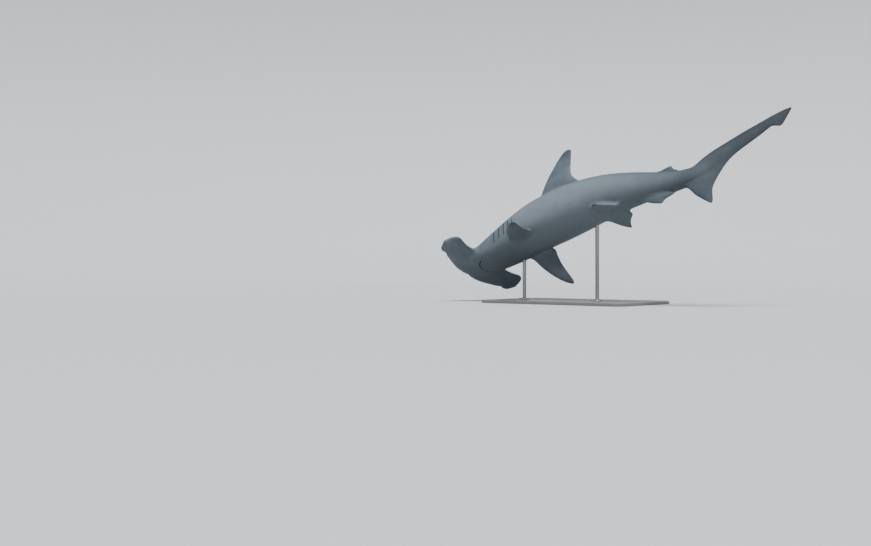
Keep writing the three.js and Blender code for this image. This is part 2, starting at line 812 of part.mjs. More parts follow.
function addNode( name, made, finish ) {

	const mesh = new THREE.Mesh( geometryOf( made ), new THREE.MeshStandardMaterial( finish ) );
	mesh.name = name;
	group.add( mesh );

}

addNode( 'head', head, SKIN );
addNode( 'eye_left', eye( 1 ), EYE );
addNode( 'eye_right', eye( - 1 ), EYE );
addNode( 'gill_region', closed( bodyLength( lengths.gill_region ) ), SKIN );
addNode( 'trunk', closed( bodyLength( lengths.trunk ) ), SKIN );
addNode( 'tail', closed( bodyLength( lengths.tail ) ), SKIN );
addNode( 'caudal_upper', closed( bodyLength( lengths.caudal_upper ) ), FIN );
addNode( 'caudal_lower', medianFin( LOWER_LOBE, - 1, 11, 0.25 ), FIN );
addNode( 'dorsal_first', medianFin( FIRST_DORSAL, 1, 14, 0.16 ), FIN );
addNode( 'dorsal_second', medianFin( SECOND_DORSAL, 1, 8, 0.5 ), FIN );
addNode( 'anal_fin', medianFin( ANAL, - 1, 8, 0.5 ), FIN );
[ 'left', 'right' ].forEach( ( side ) => {

	addNode( `pectoral_${ side }`, pairedFin( PECTORAL, side, 14, 0.2 ), FIN );
	addNode( `pelvic_${ side }`, pairedFin( PELVIC, side, 9, 0.5 ), FIN );

} );
addNode( 'stand_base', roundedPlate(), BASE );
addNode( 'stand_rod_front', rod( ROD_STATIONS.front ), STEEL );
addNode( 'stand_rod_rear', rod( ROD_STATIONS.rear ), STEEL );

export default group;
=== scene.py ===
import json
import math
from functools import cache
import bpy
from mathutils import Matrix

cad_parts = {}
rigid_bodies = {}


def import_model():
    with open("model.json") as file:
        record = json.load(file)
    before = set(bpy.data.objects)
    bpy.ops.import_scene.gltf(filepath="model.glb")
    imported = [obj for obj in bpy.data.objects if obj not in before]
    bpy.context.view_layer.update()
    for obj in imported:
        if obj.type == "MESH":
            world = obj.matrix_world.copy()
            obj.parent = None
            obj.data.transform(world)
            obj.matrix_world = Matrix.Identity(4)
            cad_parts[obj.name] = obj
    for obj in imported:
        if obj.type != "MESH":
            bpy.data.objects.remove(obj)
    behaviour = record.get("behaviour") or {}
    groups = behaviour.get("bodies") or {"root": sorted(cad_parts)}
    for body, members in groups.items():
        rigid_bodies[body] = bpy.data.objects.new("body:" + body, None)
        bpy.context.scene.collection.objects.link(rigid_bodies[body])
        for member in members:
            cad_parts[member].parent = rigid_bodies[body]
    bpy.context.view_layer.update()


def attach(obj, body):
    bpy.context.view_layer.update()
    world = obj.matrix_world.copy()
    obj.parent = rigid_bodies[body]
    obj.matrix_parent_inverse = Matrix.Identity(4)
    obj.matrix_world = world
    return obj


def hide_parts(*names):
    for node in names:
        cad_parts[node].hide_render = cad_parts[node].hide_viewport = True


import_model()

from types import SimpleNamespace

import bmesh
import bpy
import numpy as np
from bpy.props import FloatProperty, FloatVectorProperty, PointerProperty
from bpy.types import Operator, Panel, PropertyGroup
from mathutils import Vector

bl_info = {
    "name": "Hammerhead shark display model",
    "version": (1, 0, 0),
    "blender": (4, 5, 0),
    "location": "3D View > Sidebar > Shark",
    "description": "Skin, eyes, stand and studio of a life-size hammerhead shark model",
    "category": "Object",
}

# Lengths are in metres. Shares are shares of the shark's total length.

TOTAL_LENGTH = 2.6
ANCHOR_STATION = 0.30
ANCHOR = Vector((-0.170, 0.0, 0.560))
NOSE_DOWN = math.radians(20.5)
BANK = math.radians(33)
TINY = 1e-6


def smooth_curve(at, values):
    """A smooth curve through a few values, which never swings past them."""
    last = len(at) - 1
    steps = [(values[i + 1] - values[i]) / (at[i + 1] - at[i]) for i in range(last)]
    slopes = [steps[0]]
    for before, after in zip(steps, steps[1:]):
        slopes.append(0.0 if before * after <= 0 else 2 * before * after / (before + after))
    slopes.append(steps[-1])

    def value(x):
        x = min(max(x, at[0]), at[last])
        i = 0
        while i < last - 1 and x > at[i + 1]:
            i += 1
        width = at[i + 1] - at[i]
        t = (x - at[i]) / width
        rise = values[i + 1] - values[i]
        bend = slopes[i] * width - rise
        unbend = rise - slopes[i + 1] * width
        return values[i] + rise * t + t * (1 - t) * (bend * (1 - t) + unbend * t)

    return value


def smooth_step(low, high, x):
    """Rises from 0 at low to 1 at high. x is a number or an array."""
    t = np.clip((x - low) / (high - low), 0, 1)
    return t * t * (3 - 2 * t)


def signed_power(value, power):
    return math.copysign(abs(value) ** power, value)


def spread(start, end, count):
    return [start + (end - start) * i / count for i in range(count + 1)]


# Bends of the backbone and half sizes of the body, as in the solids

YAW = smooth_curve(
    [0, 0.06, 0.16, 0.30, 0.45, 0.60, 0.70, 0.80, 1],
    [0.12, 0.12, -0.02, 0, 0.07, -0.13, 0.01, -0.51, -0.38],
)
PITCH = smooth_curve(
    [0, 0.06, 0.18, 0.30, 0.50, 0.66, 0.70, 0.745, 1],
    [0.05, 0.05, 0.19, 0, -0.23, -0.20, -0.18, 0.65, 0.66],
)
TOP = smooth_curve(
    [0, 0.03, 0.06, 0.10, 0.14, 0.20, 0.27, 0.33, 0.40, 0.54, 0.66, 0.70, 0.76, 0.86, 0.94, 0.985, 1],
    [0.002, 0.014, 0.0265, 0.042, 0.056, 0.072, 0.0835, 0.0847, 0.078, 0.0535, 0.0300, 0.0232,
     0.0228, 0.0218, 0.0155, 0.0075, 0.0008],
)
BELLY = smooth_curve(
    [0, 0.03, 0.06, 0.10, 0.14, 0.20, 0.27, 0.33, 0.40, 0.47, 0.54, 0.66, 0.70, 0.76, 0.82,
     0.90, 0.930, 0.944, 0.970, 1],
    [0.002, 0.0125, 0.0235, 0.037, 0.0475, 0.058, 0.064, 0.066, 0.064, 0.057, 0.0475, 0.028, 0.0255,
     0.0325, 0.0186, 0.0130, 0.0108, 0.0250, 0.0150, 0.0008],
)
BREADTH = smooth_curve(
    [0, 0.03, 0.06, 0.10, 0.14, 0.20, 0.27, 0.33, 0.40, 0.47, 0.54, 0.60, 0.66, 0.70, 0.725, 0.76,
     0.82, 0.90, 0.985, 1],
    [0.014, 0.036, 0.0455, 0.0475, 0.0505, 0.0562, 0.0597, 0.0605, 0.0573, 0.0495, 0.039, 0.0288,
     0.0206, 0.0165, 0.0130, 0.0086, 0.0060, 0.0043, 0.0022, 0.0008],
)
BELLY_SQUARENESS = smooth_curve([0, 0.08, 0.16, 0.35, 0.55, 1], [3.4, 3.2, 2.7, 2.3, 2, 2])
TOP_SQUARENESS = smooth_curve([0, 0.08, 0.20, 0.35, 1], [2.8, 2.6, 2.15, 1.9, 2])
WEB_THINNING = smooth_curve([0, 0.70, 0.78, 1], [0, 0, 0.62, 0.5])
WEB_ROUNDNESS = 1.5

# Gills

GILL_STATIONS = [0.141, 0.159, 0.1765, 0.193, 0.208]
GILL_HALF_SPREADS = [0.36, 0.42, 0.43, 0.36, 0.24]
GILL_ANGLE = 1.52
GILL_FADE_START, GILL_FADE_END = 0.72, 1.15
GILL_CLEAR_OF_FIN, GILL_END_AT_FIN = 0.24, 0.02

# Rings of skin round one slit: how far behind the flap's edge, outwards, pushed back, painted shade

SLIT_RINGS = [
    (-0.0155, 0.0012, 0.0, 0.0),
    (-0.0090, 0.0028, 0.0, 0.0),
    (-0.0040, 0.0042, 0.0010, 0.0),
    (-0.0008, 0.0046, 0.0040, 0.05),
    (0.0004, 0.0030, 0.0048, 0.6),
    (0.0012, -0.0040, 0.0024, 1.0),
    (0.0032, -0.0078, 0.0005, 1.0),
    (0.0060, -0.0060, 0.0, 0.9),
    (0.0080, -0.0006, 0.0, 0.3),
    (0.0110, 0.0006, 0.0, 0.0),
    (0.0190, 0.0, 0.0, 0.0),
]

# The hammer, from the middle outwards

HAMMER_REACH = 0.129
HAMMER_FRONT = smooth_curve(
    [0, 0.0145, 0.031, 0.053, 0.0755, 0.093, 0.102, 0.1115, 0.123, HAMMER_REACH],
    [-0.0110, -0.0147, -0.0142, -0.0087, -0.0002, 0.0075, 0.0142, 0.0128, 0.0195, 0.0365],
)
HAMMER_REAR = smooth_curve(
    [0, 0.036, 0.042, 0.048, 0.056, 0.067, 0.082, 0.097, 0.1095, 0.119, 0.126, HAMMER_REACH],
    [0.096, 0.0945, 0.0905, 0.0845, 0.0785, 0.0765, 0.0780, 0.0825, 0.0865, 0.0830, 0.0730, 0.0605],
)
HAMMER_HALF_THICKNESS = smooth_curve(
    [0, 0.04, 0.078, 0.102, 0.1145, 0.123, HAMMER_REACH],
    [0.0215, 0.0185, 0.0135, 0.0125, 0.0130, 0.0118, 0.0075],
)
HAMMER_UNDERSIDE = 0.85
HAMMER_ROUNDNESS = 0.9
HAMMER_REAR_THINNING = 0.28

EYE_STATION = 0.045
EYE_PROUD = 0.008
EYE_DISC_BULGE = 0.0012

MOUTH_FRONT = 0.056
MOUTH_CORNER = 0.094
MOUTH_HALF_WIDTH = 0.034
MOUTH_CURVE = 2.3
MOUTH_STEPS = 60
MOUTH_BAND = 0.009

NOSTRIL_ACROSS = 0.102
NOSE_GROOVE_INNER = 0.058

# Fins: the edges give the way back from the start of the base, from root to tip

FIRST_DORSAL = dict(
    rings=16, station=0.254, base=0.110, height=0.153, thickness=0.0105, lean=-0.03,
    lead=smooth_curve(
        [0, 0.12, 0.5, 0.75, 0.9, 0.97, 1], [0, 0.0055, 0.0292, 0.0527, 0.0692, 0.0787, 0.0877]
    ),
    trail=smooth_curve(
        [0, 0.03, 0.08, 0.16, 0.3, 0.5, 0.8, 0.94, 0.985, 1],
        [0.113, 0.135, 0.132, 0.121, 0.111, 0.108, 0.108, 0.1075, 0.1035, 0.0965],
    ),
)
SECOND_DORSAL = dict(
    rings=7, station=0.609, base=0.040, height=0.020, thickness=0.0045,
    lead=smooth_curve([0, 0.5, 0.85, 1], [0, 0.0165, 0.0285, 0.036]),
    trail=smooth_curve(
        [0, 0.08, 0.2, 0.32, 0.6, 0.9, 1], [0.042, 0.068, 0.082, 0.060, 0.0445, 0.039, 0.0375]
    ),
)
ANAL = dict(
    # The anal fin is darkened beyond its root with painted shade.
    rings=8, station=0.590, base=0.062, height=0.027, thickness=0.0050, least_painted_shade=0.72,
    lead=smooth_curve([0, 0.5, 0.85, 1], [0, 0.020, 0.039, 0.051]),
    trail=smooth_curve(
        [0, 0.14, 0.30, 0.42, 0.6, 0.9, 1], [0.064, 0.084, 0.092, 0.078, 0.062, 0.055, 0.0530]
    ),
)
LOWER_LOBE = dict(
    rings=12, station=0.701, base=0.083, height=0.080, thickness=0.0070, turn=-0.13,
    lead=smooth_curve([0, 0.4, 0.75, 0.93, 1], [0, 0.0185, 0.0415, 0.0545, 0.0605]),
    trail=smooth_curve([0, 0.2, 0.4, 0.65, 0.93, 1], [0.084, 0.0680, 0.0655, 0.0650, 0.0657, 0.0632]),
)
PECTORAL = dict(
    rings=16, station=0.192, base=0.062, height=0.131, thickness=0.0095,
    aside=0.80, down=0.60, twists={1: 0.27, -1: 0.03}, droops={1: 0.49, -1: 1.16},
    lead=smooth_curve([0, 0.28, 0.55, 0.8, 0.94, 1], [0, 0.0155, 0.0360, 0.0605, 0.0787, 0.0895]),
    trail=smooth_curve(
        [0, 0.045, 0.10, 0.22, 0.42, 0.7, 0.9, 0.975, 1],
        [0.063, 0.085, 0.082, 0.076, 0.0775, 0.0862, 0.0935, 0.0950, 0.0922],
    ),
)
PELVIC = dict(
    rings=9, station=0.467, base=0.062, height=0.047, thickness=0.0055,
    aside=0.55, down=0.80, twists={1: 0.15, -1: -0.10}, droops={1: 0.45, -1: 0.18},
    lead=smooth_curve([0, 0.42, 0.8, 1], [0, 0.015, 0.0315, 0.0435]),
    trail=smooth_curve(
        [0, 0.08, 0.2, 0.45, 0.75, 0.95, 1], [0.073, 0.088, 0.078, 0.0600, 0.0505, 0.0470, 0.0452]
    ),
)

# How a fin leaves the body and thins out, what its root takes up of the body, and its rings

ROOT_BLEND = 0.4
ROOT_FLARE, ROOT_FLARE_SPAN = 0.55, 0.07
TIP_TAPER, LEAST_TAPER = 1.6, 0.01
FULLNESS, FRONT_POWER, REAR_POWER = 2.26, 0.5, 0.7
EVEN_SPAN = 0.3
CHORD_END = 0.006
ROOT_FILLET = 0.009
ROOT_EASE = 0.018
WIDEST_ROOT = 0.75
EXIT_RANGE, EXIT_HALVINGS = (-0.03, 0.12), 24
FIN_MARGIN, PAIRED_FIN_MARGIN = 0.003, 0.0009
FIRST_RING_CLEAR = 0.012
RING_BUNCHING = 1.15

# The backbone

PLUMB_BACK = Vector((math.cos(NOSE_DOWN), 0, math.sin(NOSE_DOWN)))
PLUMB_UP = Vector((-math.sin(NOSE_DOWN), 0, math.cos(NOSE_DOWN)))
PLUMB_LEFT = Vector((0, -1, 0))
ANCHOR_LEFT = PLUMB_LEFT * math.cos(BANK) + PLUMB_UP * math.sin(BANK)
ANCHOR_UP = PLUMB_UP * math.cos(BANK) - PLUMB_LEFT * math.sin(BANK)
SPINE_STEPS = 400


def spine_axes(station):
    yaw = YAW(station) - YAW(ANCHOR_STATION)
    pitch = PITCH(station) - PITCH(ANCHOR_STATION)
    ahead, aside = math.cos(yaw), math.sin(yaw)
    level, steep = math.cos(pitch), math.sin(pitch)

    def turned(back, left, up):
        return PLUMB_BACK * back + ANCHOR_LEFT * left + ANCHOR_UP * up

    return (
        turned(level * ahead, level * aside, steep),
        turned(-aside, ahead, 0),
        turned(-steep * ahead, -steep * aside, level),
    )


def spine_points():
    points = [Vector()]
    for i in range(SPINE_STEPS):
        back = spine_axes((i + 0.5) / SPINE_STEPS)[0]
        points.append(points[-1] + back * TOTAL_LENGTH / SPINE_STEPS)
    shift = ANCHOR - points[round(ANCHOR_STATION * SPINE_STEPS)]
    return [point + shift for point in points]


SPINE = spine_points()


def spine_frame(station):
    """The backbone's centre, and the directions back, left and up there."""
    index = min(max(int(station * SPINE_STEPS), 0), SPINE_STEPS - 1)
    centre = SPINE[index].lerp(SPINE[index + 1], station * SPINE_STEPS - index)
    return centre, *spine_axes(station)


def from_frame(place, back, left, up):
    return place[0] + place[1] * back + place[2] * left + place[3] * up


def half_body(station, above):
    """The height of the body's upper or lower half, and its squareness."""
    if above:
        return TOP(station), TOP_SQUARENESS(station)
    return BELLY(station), BELLY_SQUARENESS(station)


def section_shares(station, angle):
    """Shares across and up of the body's section at an angle: 0 ridge, pi belly."""
    side, rise = math.sin(angle), math.cos(angle)
    power = 2 / half_body(station, rise > 0)[1]
    return signed_power(side, power), signed_power(rise, power)


def body_point(station, angle, out=0.0, back=0.0):
    across, rise = section_shares(station, angle)
    height = half_body(station, rise > 0)[0] * TOTAL_LENGTH
    thinning = 0 if rise > 0 else WEB_THINNING(station) * abs(math.cos(angle)) ** WEB_ROUNDNESS
    breadth = BREADTH(station) * TOTAL_LENGTH * (1 - thinning)
    return from_frame(spine_frame(station), back, across * (breadth + out), rise * (height + out))


HEAD_STATION = 0.03
HEAD = spine_frame(HEAD_STATION)
HEAD = (HEAD[0] - HEAD[1] * HEAD_STATION * TOTAL_LENGTH, *HEAD[1:])


def on_neck(back, across, up):
    """A point in shares: in the head's own directions, and behind it along the backbone's bend."""
    across, up = across * TOTAL_LENGTH, up * TOTAL_LENGTH
    if back < HEAD_STATION:
        return from_frame(HEAD, back * TOTAL_LENGTH, across, up)
    return from_frame(spine_frame(back), 0, across, up)


# The cage of the skin. It has columns round the body and rings along it. The first rings belong
# to the hammer, and column 0 is the back's ridge.

COLUMNS = 64
HALF_COLUMNS = 32
SIDE_TOP, SIDE_LOW = 12, 20
SIDE_CELLS = SIDE_LOW - SIDE_TOP
HAMMER_RINGS = 18
NECK_STATION = 0.0865
NECK_HALF_WIDTH = 0.0455
NECK_START, NECK_NARROWING = 0.2, 0.45
NECK_JOIN = 3
FRONT_BAND = math.radians(32)
REAR_BAND = math.radians(22)
FIN_HALF_COLUMNS = 2
PAIRED_COLUMN = 24
REGULAR = math.pi / HALF_COLUMNS
PLAIN_REACH = FIN_HALF_COLUMNS * REGULAR

# Between which stations the columns of the paired fins move to the pectoral fins, on to the pelvic
# fins, and back to the regular spacing

TO_PECTORAL, TO_PELVIC, TO_REGULAR = (0.10, 0.18), (0.26, 0.45), (0.53, 0.60)

# The neck's rings, and the bands of rings behind the gills: the station that a band ends at, and
# how many rings it has

NECK_END, NECK_RINGS = 0.131, 6
GILLS_END = 0.2190
BANDS = [
    (0.2510, 4), (0.2570, 1), (0.3670, 13), (0.4665, 10), (0.5320, 10), (0.5870, 6), (0.6060, 3),
    (0.6520, 6), (0.6550, 1), (0.6980, 6), (0.7870, 13), (0.9220, 13), (0.9500, 10), (1.0, 9),
]


def ring_list():
    """Each ring's station, relief, shift, painted shade and slit spread, from the neck to the tip."""
    neck = spread(NECK_STATION, NECK_END, NECK_RINGS)
    behind = [GILLS_END]
    for end, count in BANDS:
        behind += spread(behind[-1], end, count)[1:]
    slits = [
        (station + at / TOTAL_LENGTH, out, back, dark, half)
        for station, half in zip(GILL_STATIONS, GILL_HALF_SPREADS)
        for at, out, back, dark in SLIT_RINGS
    ]
    return [(s, 0, 0, 0, 0) for s in neck] + slits + [(s, 0, 0, 0, 0) for s in behind]


RINGS = ring_list()
LAST_RING = HAMMER_RINGS + len(RINGS) - 1


def ring_values(row):
    """The values of a ring, also between two rings."""
    place = min(max(row - HAMMER_RINGS, 0), len(RINGS) - 1)
    low = int(place)
    high = min(low + 1, len(RINGS) - 1)
    return [a + (b - a) * (place - low) for a, b in zip(RINGS[low], RINGS[high])]


# Tones of the skin. Shade runs from 0 on the back to 1 on the belly, and faces that look down get
# more of it; its belly end is painted shade, a tone darker than the flank. Dusk and shade is how far
# the skin turns to its dark colour: the own dusky tips of the fins and tail, and painted shade on
# the hammer, the gills, the tail and the anal fin.

UPPER_FIN_SHADE, LOWER_FIN_SHADE = 0.19, 0.62
PAIRED_FIN_SHADE, PAIRED_FIN_SHADE_HALF = 0.58, 0.34
LOBE_SHADE, LOBE_SHADE_HALF = 0.42, 0.16
THROAT_SHADE = 0.80
# Dark tone along the body: the tail's own dusky colour, with painted shade on the hammer, the gills and the
# tail.
BODY_DUSK_AND_SHADE = smooth_curve(
    [0, 0.10, 0.17, 0.25, 0.42, 0.58, 0.70, 0.80, 0.90, 1],
    [0.38, 0.40, 0.36, 0.06, 0, 0.38, 0.66, 0.92, 0.98, 1],
)
TIP_DUSK, TIP_DUSK_START = 0.62, 0.58


class Fin:
    """Where a fin stands: its root line, the way it grows, and the way across its faces."""

    # A plan may darken its fin beyond the root with painted shade; none is the default.
    lean = turn = least_painted_shade = 0

    def __init__(self, plan, up=0, side=0):
        vars(self).update(plan, up=up, side=side)
        if side:
            self.stand_beside()
        else:
            self.stand_on_ridge()
        self.thickwards = self.chordwise.cross(self.outwards).normalized()

    def stand_beside(self):
        """Sets a paired fin low on one side of the body."""
        _, back, left, up = spine_frame(self.station + self.base / 2)
        droop, twist = self.droops[self.side], self.twists[self.side]
        self.outwards = left * self.side * math.cos(droop) - up * math.sin(droop)
        upwards = left * self.side * math.sin(droop) + up * math.cos(droop)
        self.chordwise = back * math.cos(twist) - upwards * math.sin(twist)
        self.origin = from_frame(
            spine_frame(self.station), 0,
            self.side * self.aside * BREADTH(self.station) * TOTAL_LENGTH,
            -self.down * BELLY(self.station) * TOTAL_LENGTH,
        )

    def stand_on_ridge(self):
        """Sets a fin on the ridge of the back or of the belly."""
        self.ridge = 0.0 if self.up > 0 else math.pi
        self.origin = body_point(self.station, self.ridge)
        _, back, left, up = spine_frame(self.station + (0 if self.turn else self.base / 2))
        if self.turn:
            self.chordwise = back * math.cos(self.turn) + up * self.up * math.sin(self.turn)
        else:
            self.chordwise = (body_point(self.station + self.base, self.ridge) - self.origin).normalized()
        level = (up - self.chordwise * up.dot(self.chordwise)).normalized()
        self.outwards = level * self.up * math.cos(self.lean) - left * math.sin(self.lean)

    def on_base(self, station):
        """The nearest station of the fin's base."""
        return min(max(station, self.station), self.station + self.base)

    def off_base(self, station):
        return abs(station - self.on_base(station))

    def half_thickness(self, span, chord):
        """Flared at the root, thinner towards the tip, and rounded at the front like a wing."""
        span = max(span, 0)
        flare = 1 + ROOT_FLARE * math.exp(-span / ROOT_FLARE_SPAN)
        taper = math.sqrt(max(1 - span**TIP_TAPER, LEAST_TAPER))
        fullness = FULLNESS * chord**FRONT_POWER * (1 - chord) ** REAR_POWER
        return self.thickness * flare * taper * fullness * TOTAL_LENGTH

    def root(self, back, span):
        straight = self.origin + self.chordwise * back * TOTAL_LENGTH
        if self.side:
            return straight
        return body_point(self.station + back, self.ridge).lerp(straight, smooth_step(0, ROOT_BLEND, span))

    def point(self, share, even, face, span):
        """A point of the fin's surface.

        share runs along the base, and even by equal steps of its rings. face goes from -1 to 1
        across the fin, and span from its root to its tip.
        """
        eased = (1 - math.cos(math.pi * even)) / 2
        chord = share + (eased - share) * smooth_step(0, EVEN_SPAN, span)
        chord = CHORD_END + (1 - 2 * CHORD_END) * chord
        half = self.half_thickness(span, chord)
        if share < TINY:
            chord *= face * face
        if share > 1 - TINY:
            chord = 1 - (1 - chord) * face * face
        lead, trail = self.lead(span), self.trail(span)
        return (
            self.root(lead + (trail - lead) * chord, span)
            + self.outwards * span * self.height * TOTAL_LENGTH
            + self.thickwards * face * half
        )

    def face_of(self, column):
        """How far across the fin a column of the cage lies."""
        if self.side:
            return -self.side * (PAIRED_COLUMN - abs(column)) / FIN_HALF_COLUMNS
        if self.up > 0:
            return column / FIN_HALF_COLUMNS
        return -math.copysign(HALF_COLUMNS - abs(column), column) / FIN_HALF_COLUMNS

    def exit(self, station):
        """The body's angle where the fin's middle plane comes out of it, and how far out."""
        place = spine_frame(station)
        start = self.root(station - self.station, 0)
        height, power = half_body(station, False)
        low, high = EXIT_RANGE
        for _ in range(EXIT_HALVINGS):
            middle = (low + high) / 2
            offset = start + self.outwards * middle - place[0]
            across = abs(offset.dot(place[2])) / (BREADTH(station) * TOTAL_LENGTH)
            rise = offset.dot(place[3]) / (height * TOTAL_LENGTH)
            if across**power + abs(rise) ** power < 1:
                low = middle
            else:
                high = middle
        return math.atan2(across ** (power / 2), signed_power(rise, power / 2)), low

    def root_reach(self, station):
        """Half of the angle that the root takes up on the body, or of its columns off the base."""
        chord = min(max((station - self.station) / self.base, CHORD_END), 1 - CHORD_END)
        half = self.half_thickness(0, chord) + ROOT_FILLET
        if self.side:
            angle, step = self.exit(self.on_base(station))[0], 0.02
            travel = (body_point(station, angle + step) - body_point(station, angle - step)).length
            reach = half * 2 * step / travel
        else:
            breadth = BREADTH(station) * TOTAL_LENGTH
            if self.up < 0:
                breadth *= 1 - WEB_THINNING(station)
            reach = math.asin(min(half / breadth, WIDEST_ROOT) ** (half_body(station, self.up > 0)[1] / 2))
        return reach + (PLAIN_REACH - reach) * smooth_step(0, ROOT_EASE, self.off_base(station))

    def patch(self):
        """The first and last ring that the fin grows from."""
        start = self.station - (PAIRED_FIN_MARGIN if self.side else FIN_MARGIN)
        end = self.station + self.base + FIN_MARGIN
        found = [i for i, ring in enumerate(RINGS) if start - TINY <= ring[0] <= end + TINY]
        return found[0] + HAMMER_RINGS, found[-1] + HAMMER_RINGS

    def shade(self, face):
        """0 where the fin looks up to the light, 1 where it looks down."""
        if self.side:
            return PAIRED_FIN_SHADE + PAIRED_FIN_SHADE_HALF * self.side * face
        return UPPER_FIN_SHADE if self.up > 0 else LOWER_FIN_SHADE

    def dusk_and_shade(self, station, span):
        """As dusky as the body beside it, or more where painted shade is given, and darker at the tip."""
        painted_shade = self.least_painted_shade * smooth_step(0, ROOT_BLEND, span)
        return max(BODY_DUSK_AND_SHADE(station), painted_shade, TIP_DUSK * smooth_step(TIP_DUSK_START, 1, span))


DORSALS = [Fin(FIRST_DORSAL, up=1), Fin(SECOND_DORSAL, up=1)]
VENTRALS = [Fin(ANAL, up=-1), Fin(LOWER_LOBE, up=-1)]
PAIRED = [Fin(plan, side=side) for plan in (PECTORAL, PELVIC) for side in (1, -1)]


def nearest_reach(fins, station):
    """Half the angle of the nearest fin's root, or of its columns away from it."""
    best = min(fins, key=lambda fin: fin.off_base(station))
    return best.root_reach(station) if best.off_base(station) < ROOT_EASE else PLAIN_REACH


@cache
def column_anchors(station, side):
    """A few columns of one side, and their angles on the body."""
    pair = [fin for fin in PAIRED if fin.side == side]
    pectoral, pelvic = (fin.exit(fin.on_base(station))[0] for fin in pair)
    regular = PAIRED_COLUMN * REGULAR
    middle = pectoral + (pelvic - pectoral) * smooth_step(*TO_PELVIC, station)
    middle = regular + (middle - regular) * smooth_step(*TO_PECTORAL, station)
    middle += (regular - middle) * smooth_step(*TO_REGULAR, station)
    reach = nearest_reach(pair, station)
    dorsal, ventral = nearest_reach(DORSALS, station), nearest_reach(VENTRALS, station)
    return (
        [0, FIN_HALF_COLUMNS, PAIRED_COLUMN - FIN_HALF_COLUMNS, PAIRED_COLUMN + FIN_HALF_COLUMNS,
         HALF_COLUMNS - FIN_HALF_COLUMNS, HALF_COLUMNS],
        [0, dorsal, middle - reach, middle + reach, math.pi - ventral, math.pi],
    )


def column_angle(station, column):
    return math.copysign(np.interp(abs(column), *column_anchors(station, -1 if column < 0 else 1)), column)


# Places of the cage's points


def hammer_point(across, angle):
    """Back, across and up of the hammer's section: a quarter turn is its front edge."""
    size = abs(across)
    front, rear = HAMMER_FRONT(size), HAMMER_REAR(size)
    chord = (1 - math.sin(angle)) / 2
    roundness = abs(math.cos(angle)) ** HAMMER_ROUNDNESS
    half = HAMMER_HALF_THICKNESS(size) * roundness * (1 - HAMMER_REAR_THINNING * chord)
    up = half if math.cos(angle) > 0 else -half * HAMMER_UNDERSIDE
    return front + (rear - front) * chord, across, up


def section_angle(row, level):
    """The angle round the hammer's section. level runs from 1, the upper face, to -1."""
    if row <= 0:
        return math.pi / 2 - FRONT_BAND * level
    if row >= HAMMER_RINGS:
        return -math.pi / 2 + REAR_BAND * level
    start, end = section_angle(0, 1), section_angle(HAMMER_RINGS, 1)
    top = start + (end - start) * row / HAMMER_RINGS
    return top if level > 0 else math.pi - top


def side_level(column):
    return 1 - 2 * (abs(column) - SIDE_TOP) / SIDE_CELLS


def lobe_point(across, row, column):
    """A point of the hammer beside the neck, or of the disc that ends it."""
    level = side_level(column)
    along = 2 * row / HAMMER_RINGS - 1
    ring = max(abs(level), abs(along))
    edge = middle = Vector((EYE_STATION, across, 0))
    if ring > TINY:
        if abs(along) >= ring - TINY:
            angle = section_angle(0 if along < 0 else HAMMER_RINGS, level / ring)
        else:
            angle = section_angle((along / ring + 1) / 2 * HAMMER_RINGS, level)
        edge = Vector(hammer_point(across, angle))
    bulge = math.copysign(EYE_DISC_BULGE * (1 - ring * ring), across)
    place = middle.lerp(edge, ring)
    return from_frame(
        HEAD, place.x * TOTAL_LENGTH, (place.y + bulge) * TOTAL_LENGTH, place.z * TOTAL_LENGTH
    )


def middle_point(row, share, level, column=0):
    """A point of the hammer's middle, where the neck rises from it. share runs across it."""
    across = NECK_HALF_WIDTH * share
    angle = section_angle(row, level)
    hammer_up = abs(hammer_point(across, angle)[2])
    front, rear = HAMMER_FRONT(abs(across)), HAMMER_REAR(abs(across))
    chord = (1 - math.sin(angle)) / 2
    along = row / HAMMER_RINGS
    stretch = smooth_step(NECK_START, 1, along)
    reach = (NECK_STATION - front) / ((1 + math.cos(REAR_BAND)) / 2)
    back = front + ((rear - front) * (1 - stretch) + reach * stretch) * chord
    neck_share = section_shares(NECK_STATION, column_angle(NECK_STATION, column))[0]
    narrowed = neck_share * BREADTH(NECK_STATION) - across
    across += narrowed * smooth_step(NECK_NARROWING, 1, along)
    body_height, power = half_body(back, level >= 0)
    sideways = min(abs(across) / BREADTH(back), 1)
    body_up = body_height * (1 - sideways**power) ** (1 / power) * abs(level)
    height = (hammer_up**NECK_JOIN + body_up**NECK_JOIN) ** (1 / NECK_JOIN)
    return on_neck(back, across, height if level >= 0 else -height)


def block_point(row, column):
    size = abs(column)
    if size <= SIDE_TOP:
        return middle_point(row, column / SIDE_TOP, 1, column)
    if size >= SIDE_LOW:
        return middle_point(row, math.copysign((HALF_COLUMNS - size) / SIDE_TOP, column), -1, column)
    if row < TINY:
        return middle_point(row, math.copysign(1, column), side_level(column), column)
    return lobe_point(math.copysign(NECK_HALF_WIDTH, column), row, column)


def gill_share(station, angle, half):
    """How open a slit is at an angle. It closes before the root of the pectoral fin."""
    if half <= 0:
        return 0.0
    size = abs(angle)
    fin_root = column_angle(station, PAIRED_COLUMN - FIN_HALF_COLUMNS - 1)
    clear = 1 - smooth_step(fin_root - GILL_CLEAR_OF_FIN, fin_root - GILL_END_AT_FIN, size)
    return (1 - smooth_step(half * GILL_FADE_START, half * GILL_FADE_END, abs(size - GILL_ANGLE))) * clear


def skin_point(row, column):
    """A point of the cage's body at a ring and a signed column."""
    if row < HAMMER_RINGS - TINY:
        return block_point(row, column)
    station, out, back, _, half = ring_values(row)
    angle = column_angle(station, column)
    if row > LAST_RING - TINY:
        rise = math.cos(angle)
        return from_frame(spine_frame(station), 0, 0, rise * half_body(station, rise > 0)[0] * TOTAL_LENGTH)
    share = gill_share(station, angle, half)
    return body_point(station, angle, out * share, back * share)


